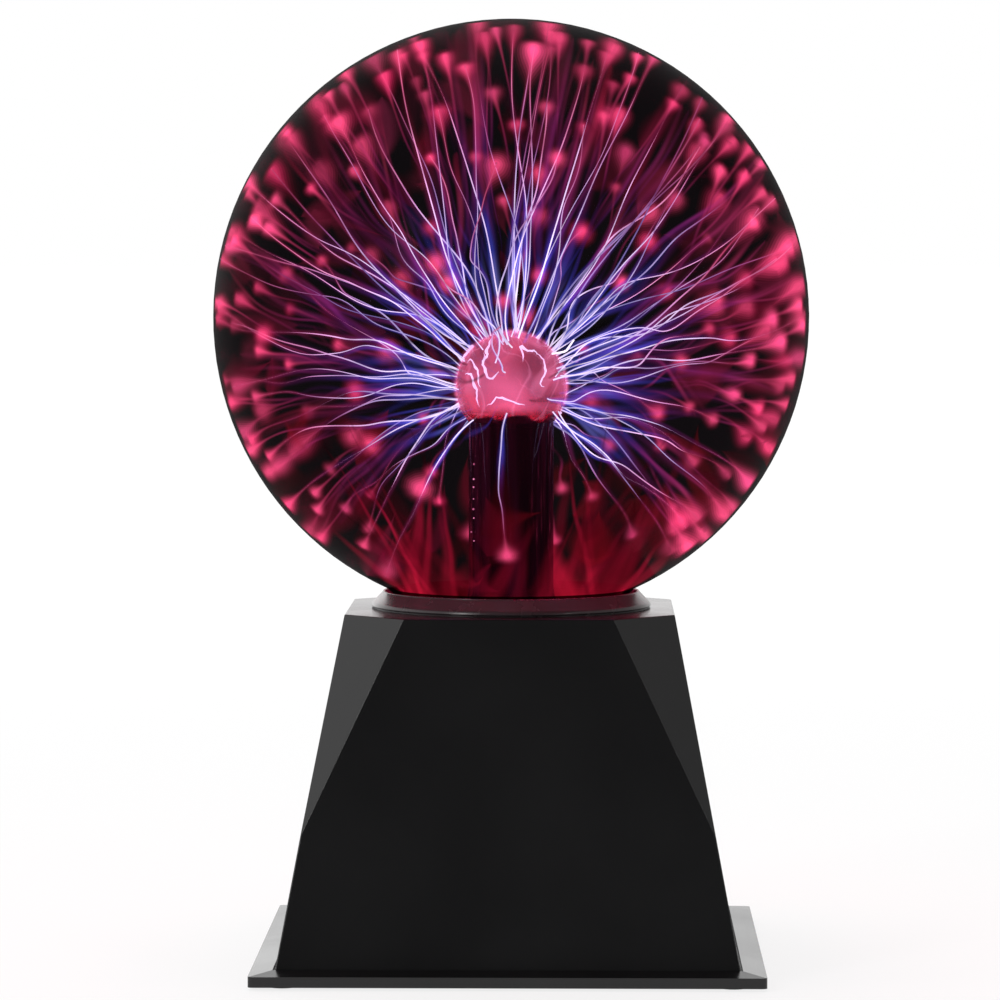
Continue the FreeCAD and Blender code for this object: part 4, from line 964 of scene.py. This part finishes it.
def floor():
    """A pale round floor that melts into the pale background."""
    mesh = bpy.data.meshes.new("floor")
    angles = np.linspace(0, 2 * math.pi, FLOOR_SIDES, endpoint=False)
    rim = [(FLOOR_R * math.cos(a), FLOOR_R * math.sin(a), 0.0) for a in angles]
    mesh.from_pydata(rim, [], [list(range(FLOOR_SIDES))])
    plane = bpy.data.objects.new("floor", mesh)
    bpy.context.collection.objects.link(plane)
    s = Shader("floor")
    shader = s.principled(Roughness=0.7)
    stops = [(MID_LOW, (0.86, 0.86, 0.87)), (MID_HIGH, (0.89, 0.89, 0.90))]
    s.join(s.ramp(s.noise(3.0), stops), shader.inputs["Base Color"])
    away = s.add("ShaderNodeVectorMath", operation="LENGTH")
    s.join(s.place(), away.inputs[0])
    far = s.add("ShaderNodeEmission")
    fade = s.add("ShaderNodeMixShader")
    s.join(s.span(away.outputs["Value"], 0.0, FLOOR_FADE, FLOOR_NEAR_GLOW, 1.0), fade.inputs[0])
    far.inputs["Strength"].default_value = FLOOR_GLOW
    s.join(shader.outputs[0], fade.inputs[1])
    s.join(far.outputs[0], fade.inputs[2])
    s.join(fade.outputs[0], s.out.inputs["Surface"])
    mesh.materials.append(s.material)


def world():
    """Pale to the eye; for lighting, a studio that is bright left and behind, dim in front."""
    sky = bpy.data.worlds.new("studio")
    bpy.context.scene.world = sky
    sky.use_nodes = True
    tree = sky.node_tree
    tree.nodes.clear()
    add = tree.nodes.new

    def eased(source, low, high, new_low=0.0, new_high=1.0):
        node = add("ShaderNodeMapRange")
        node.interpolation_type = "SMOOTHSTEP"
        limits = {"From Min": low, "From Max": high, "To Min": new_low, "To Max": new_high}
        for key, number in limits.items():
            node.inputs[key].default_value = number
        tree.links.new(source, node.inputs["Value"])
        return node.outputs[0]

    out = add("ShaderNodeOutputWorld")
    place = add("ShaderNodeTexCoord")
    split = add("ShaderNodeSeparateXYZ")
    tree.links.new(place.outputs["Generated"], split.inputs[0])
    level = add("ShaderNodeMix")
    level.inputs[2].default_value = FRONT_LEVEL
    tree.links.new(eased(split.outputs["Y"], -0.75, -0.05), level.inputs[0])
    tree.links.new(eased(split.outputs["X"], 0.7, -0.7, RIGHT_LEVEL, LEFT_LEVEL), level.inputs[3])
    lifted = add("ShaderNodeMath")
    lifted.operation = "MULTIPLY"
    tree.links.new(level.outputs[0], lifted.inputs[0])
    tree.links.new(eased(split.outputs["Y"], 0.5, 0.95, 1.0, FAR_BACK_LIFT), lifted.inputs[1])
    studio = add("ShaderNodeBackground")
    tree.links.new(lifted.outputs[0], studio.inputs["Strength"])
    pale = add("ShaderNodeBackground")
    pale.inputs["Color"].default_value = (1, 1, 1, 1)
    pale.inputs["Strength"].default_value = 1.0
    eye = add("ShaderNodeLightPath")
    both = add("ShaderNodeMixShader")
    tree.links.new(eye.outputs["Is Camera Ray"], both.inputs[0])
    tree.links.new(studio.outputs[0], both.inputs[1])
    tree.links.new(pale.outputs[0], both.inputs[2])
    tree.links.new(both.outputs[0], out.inputs["Surface"])


def softbox(name, at, size, power):
    data = bpy.data.lights.new(name, "AREA")
    data.shape = "RECTANGLE"
    data.size, data.size_y = size
    data.energy = power
    lamp = bpy.data.objects.new(name, data)
    lamp.location = at
    lamp.rotation_euler = (Vector(SOFTBOX_AIM) - Vector(at)).to_track_quat("-Z", "Y").to_euler()
    lamp.visible_camera = False
    bpy.context.collection.objects.link(lamp)


def glow_lamp(name, height, radius, power):
    """The discharge's own red light on the collar and the top of the base."""
    data = bpy.data.lights.new(name, "POINT")
    data.shadow_soft_size = radius
    data.energy = power
    data.color = DISCHARGE_RED
    lamp = bpy.data.objects.new(name, data)
    lamp.location = (0.0, 0.0, height)
    lamp.visible_camera = False
    lamp.visible_transmission = False
    lamp.visible_glossy = False
    bpy.context.collection.objects.link(lamp)


def stage_and_lights():
    scene = bpy.context.scene
    scene.view_settings.view_transform = "Standard"
    scene.cycles.transparent_max_bounces = LAYERS_SEEN_THROUGH
    scene.cycles.min_transparent_bounces = LAYERS_SEEN_THROUGH
    floor()
    world()
    glow_lamp("discharge_light", GLOBE_C[2], GLOBE_R - 4 * MM, 8.0)
    glow_lamp("neck_light", COLLAR_TOP + 26 * MM, 44 * MM, 25.0)
    for name, at, size, power in SOFTBOXES:
        softbox(name, at, size, power)


camera()
stage_and_lights()
dress_cad_nodes()
discharge()
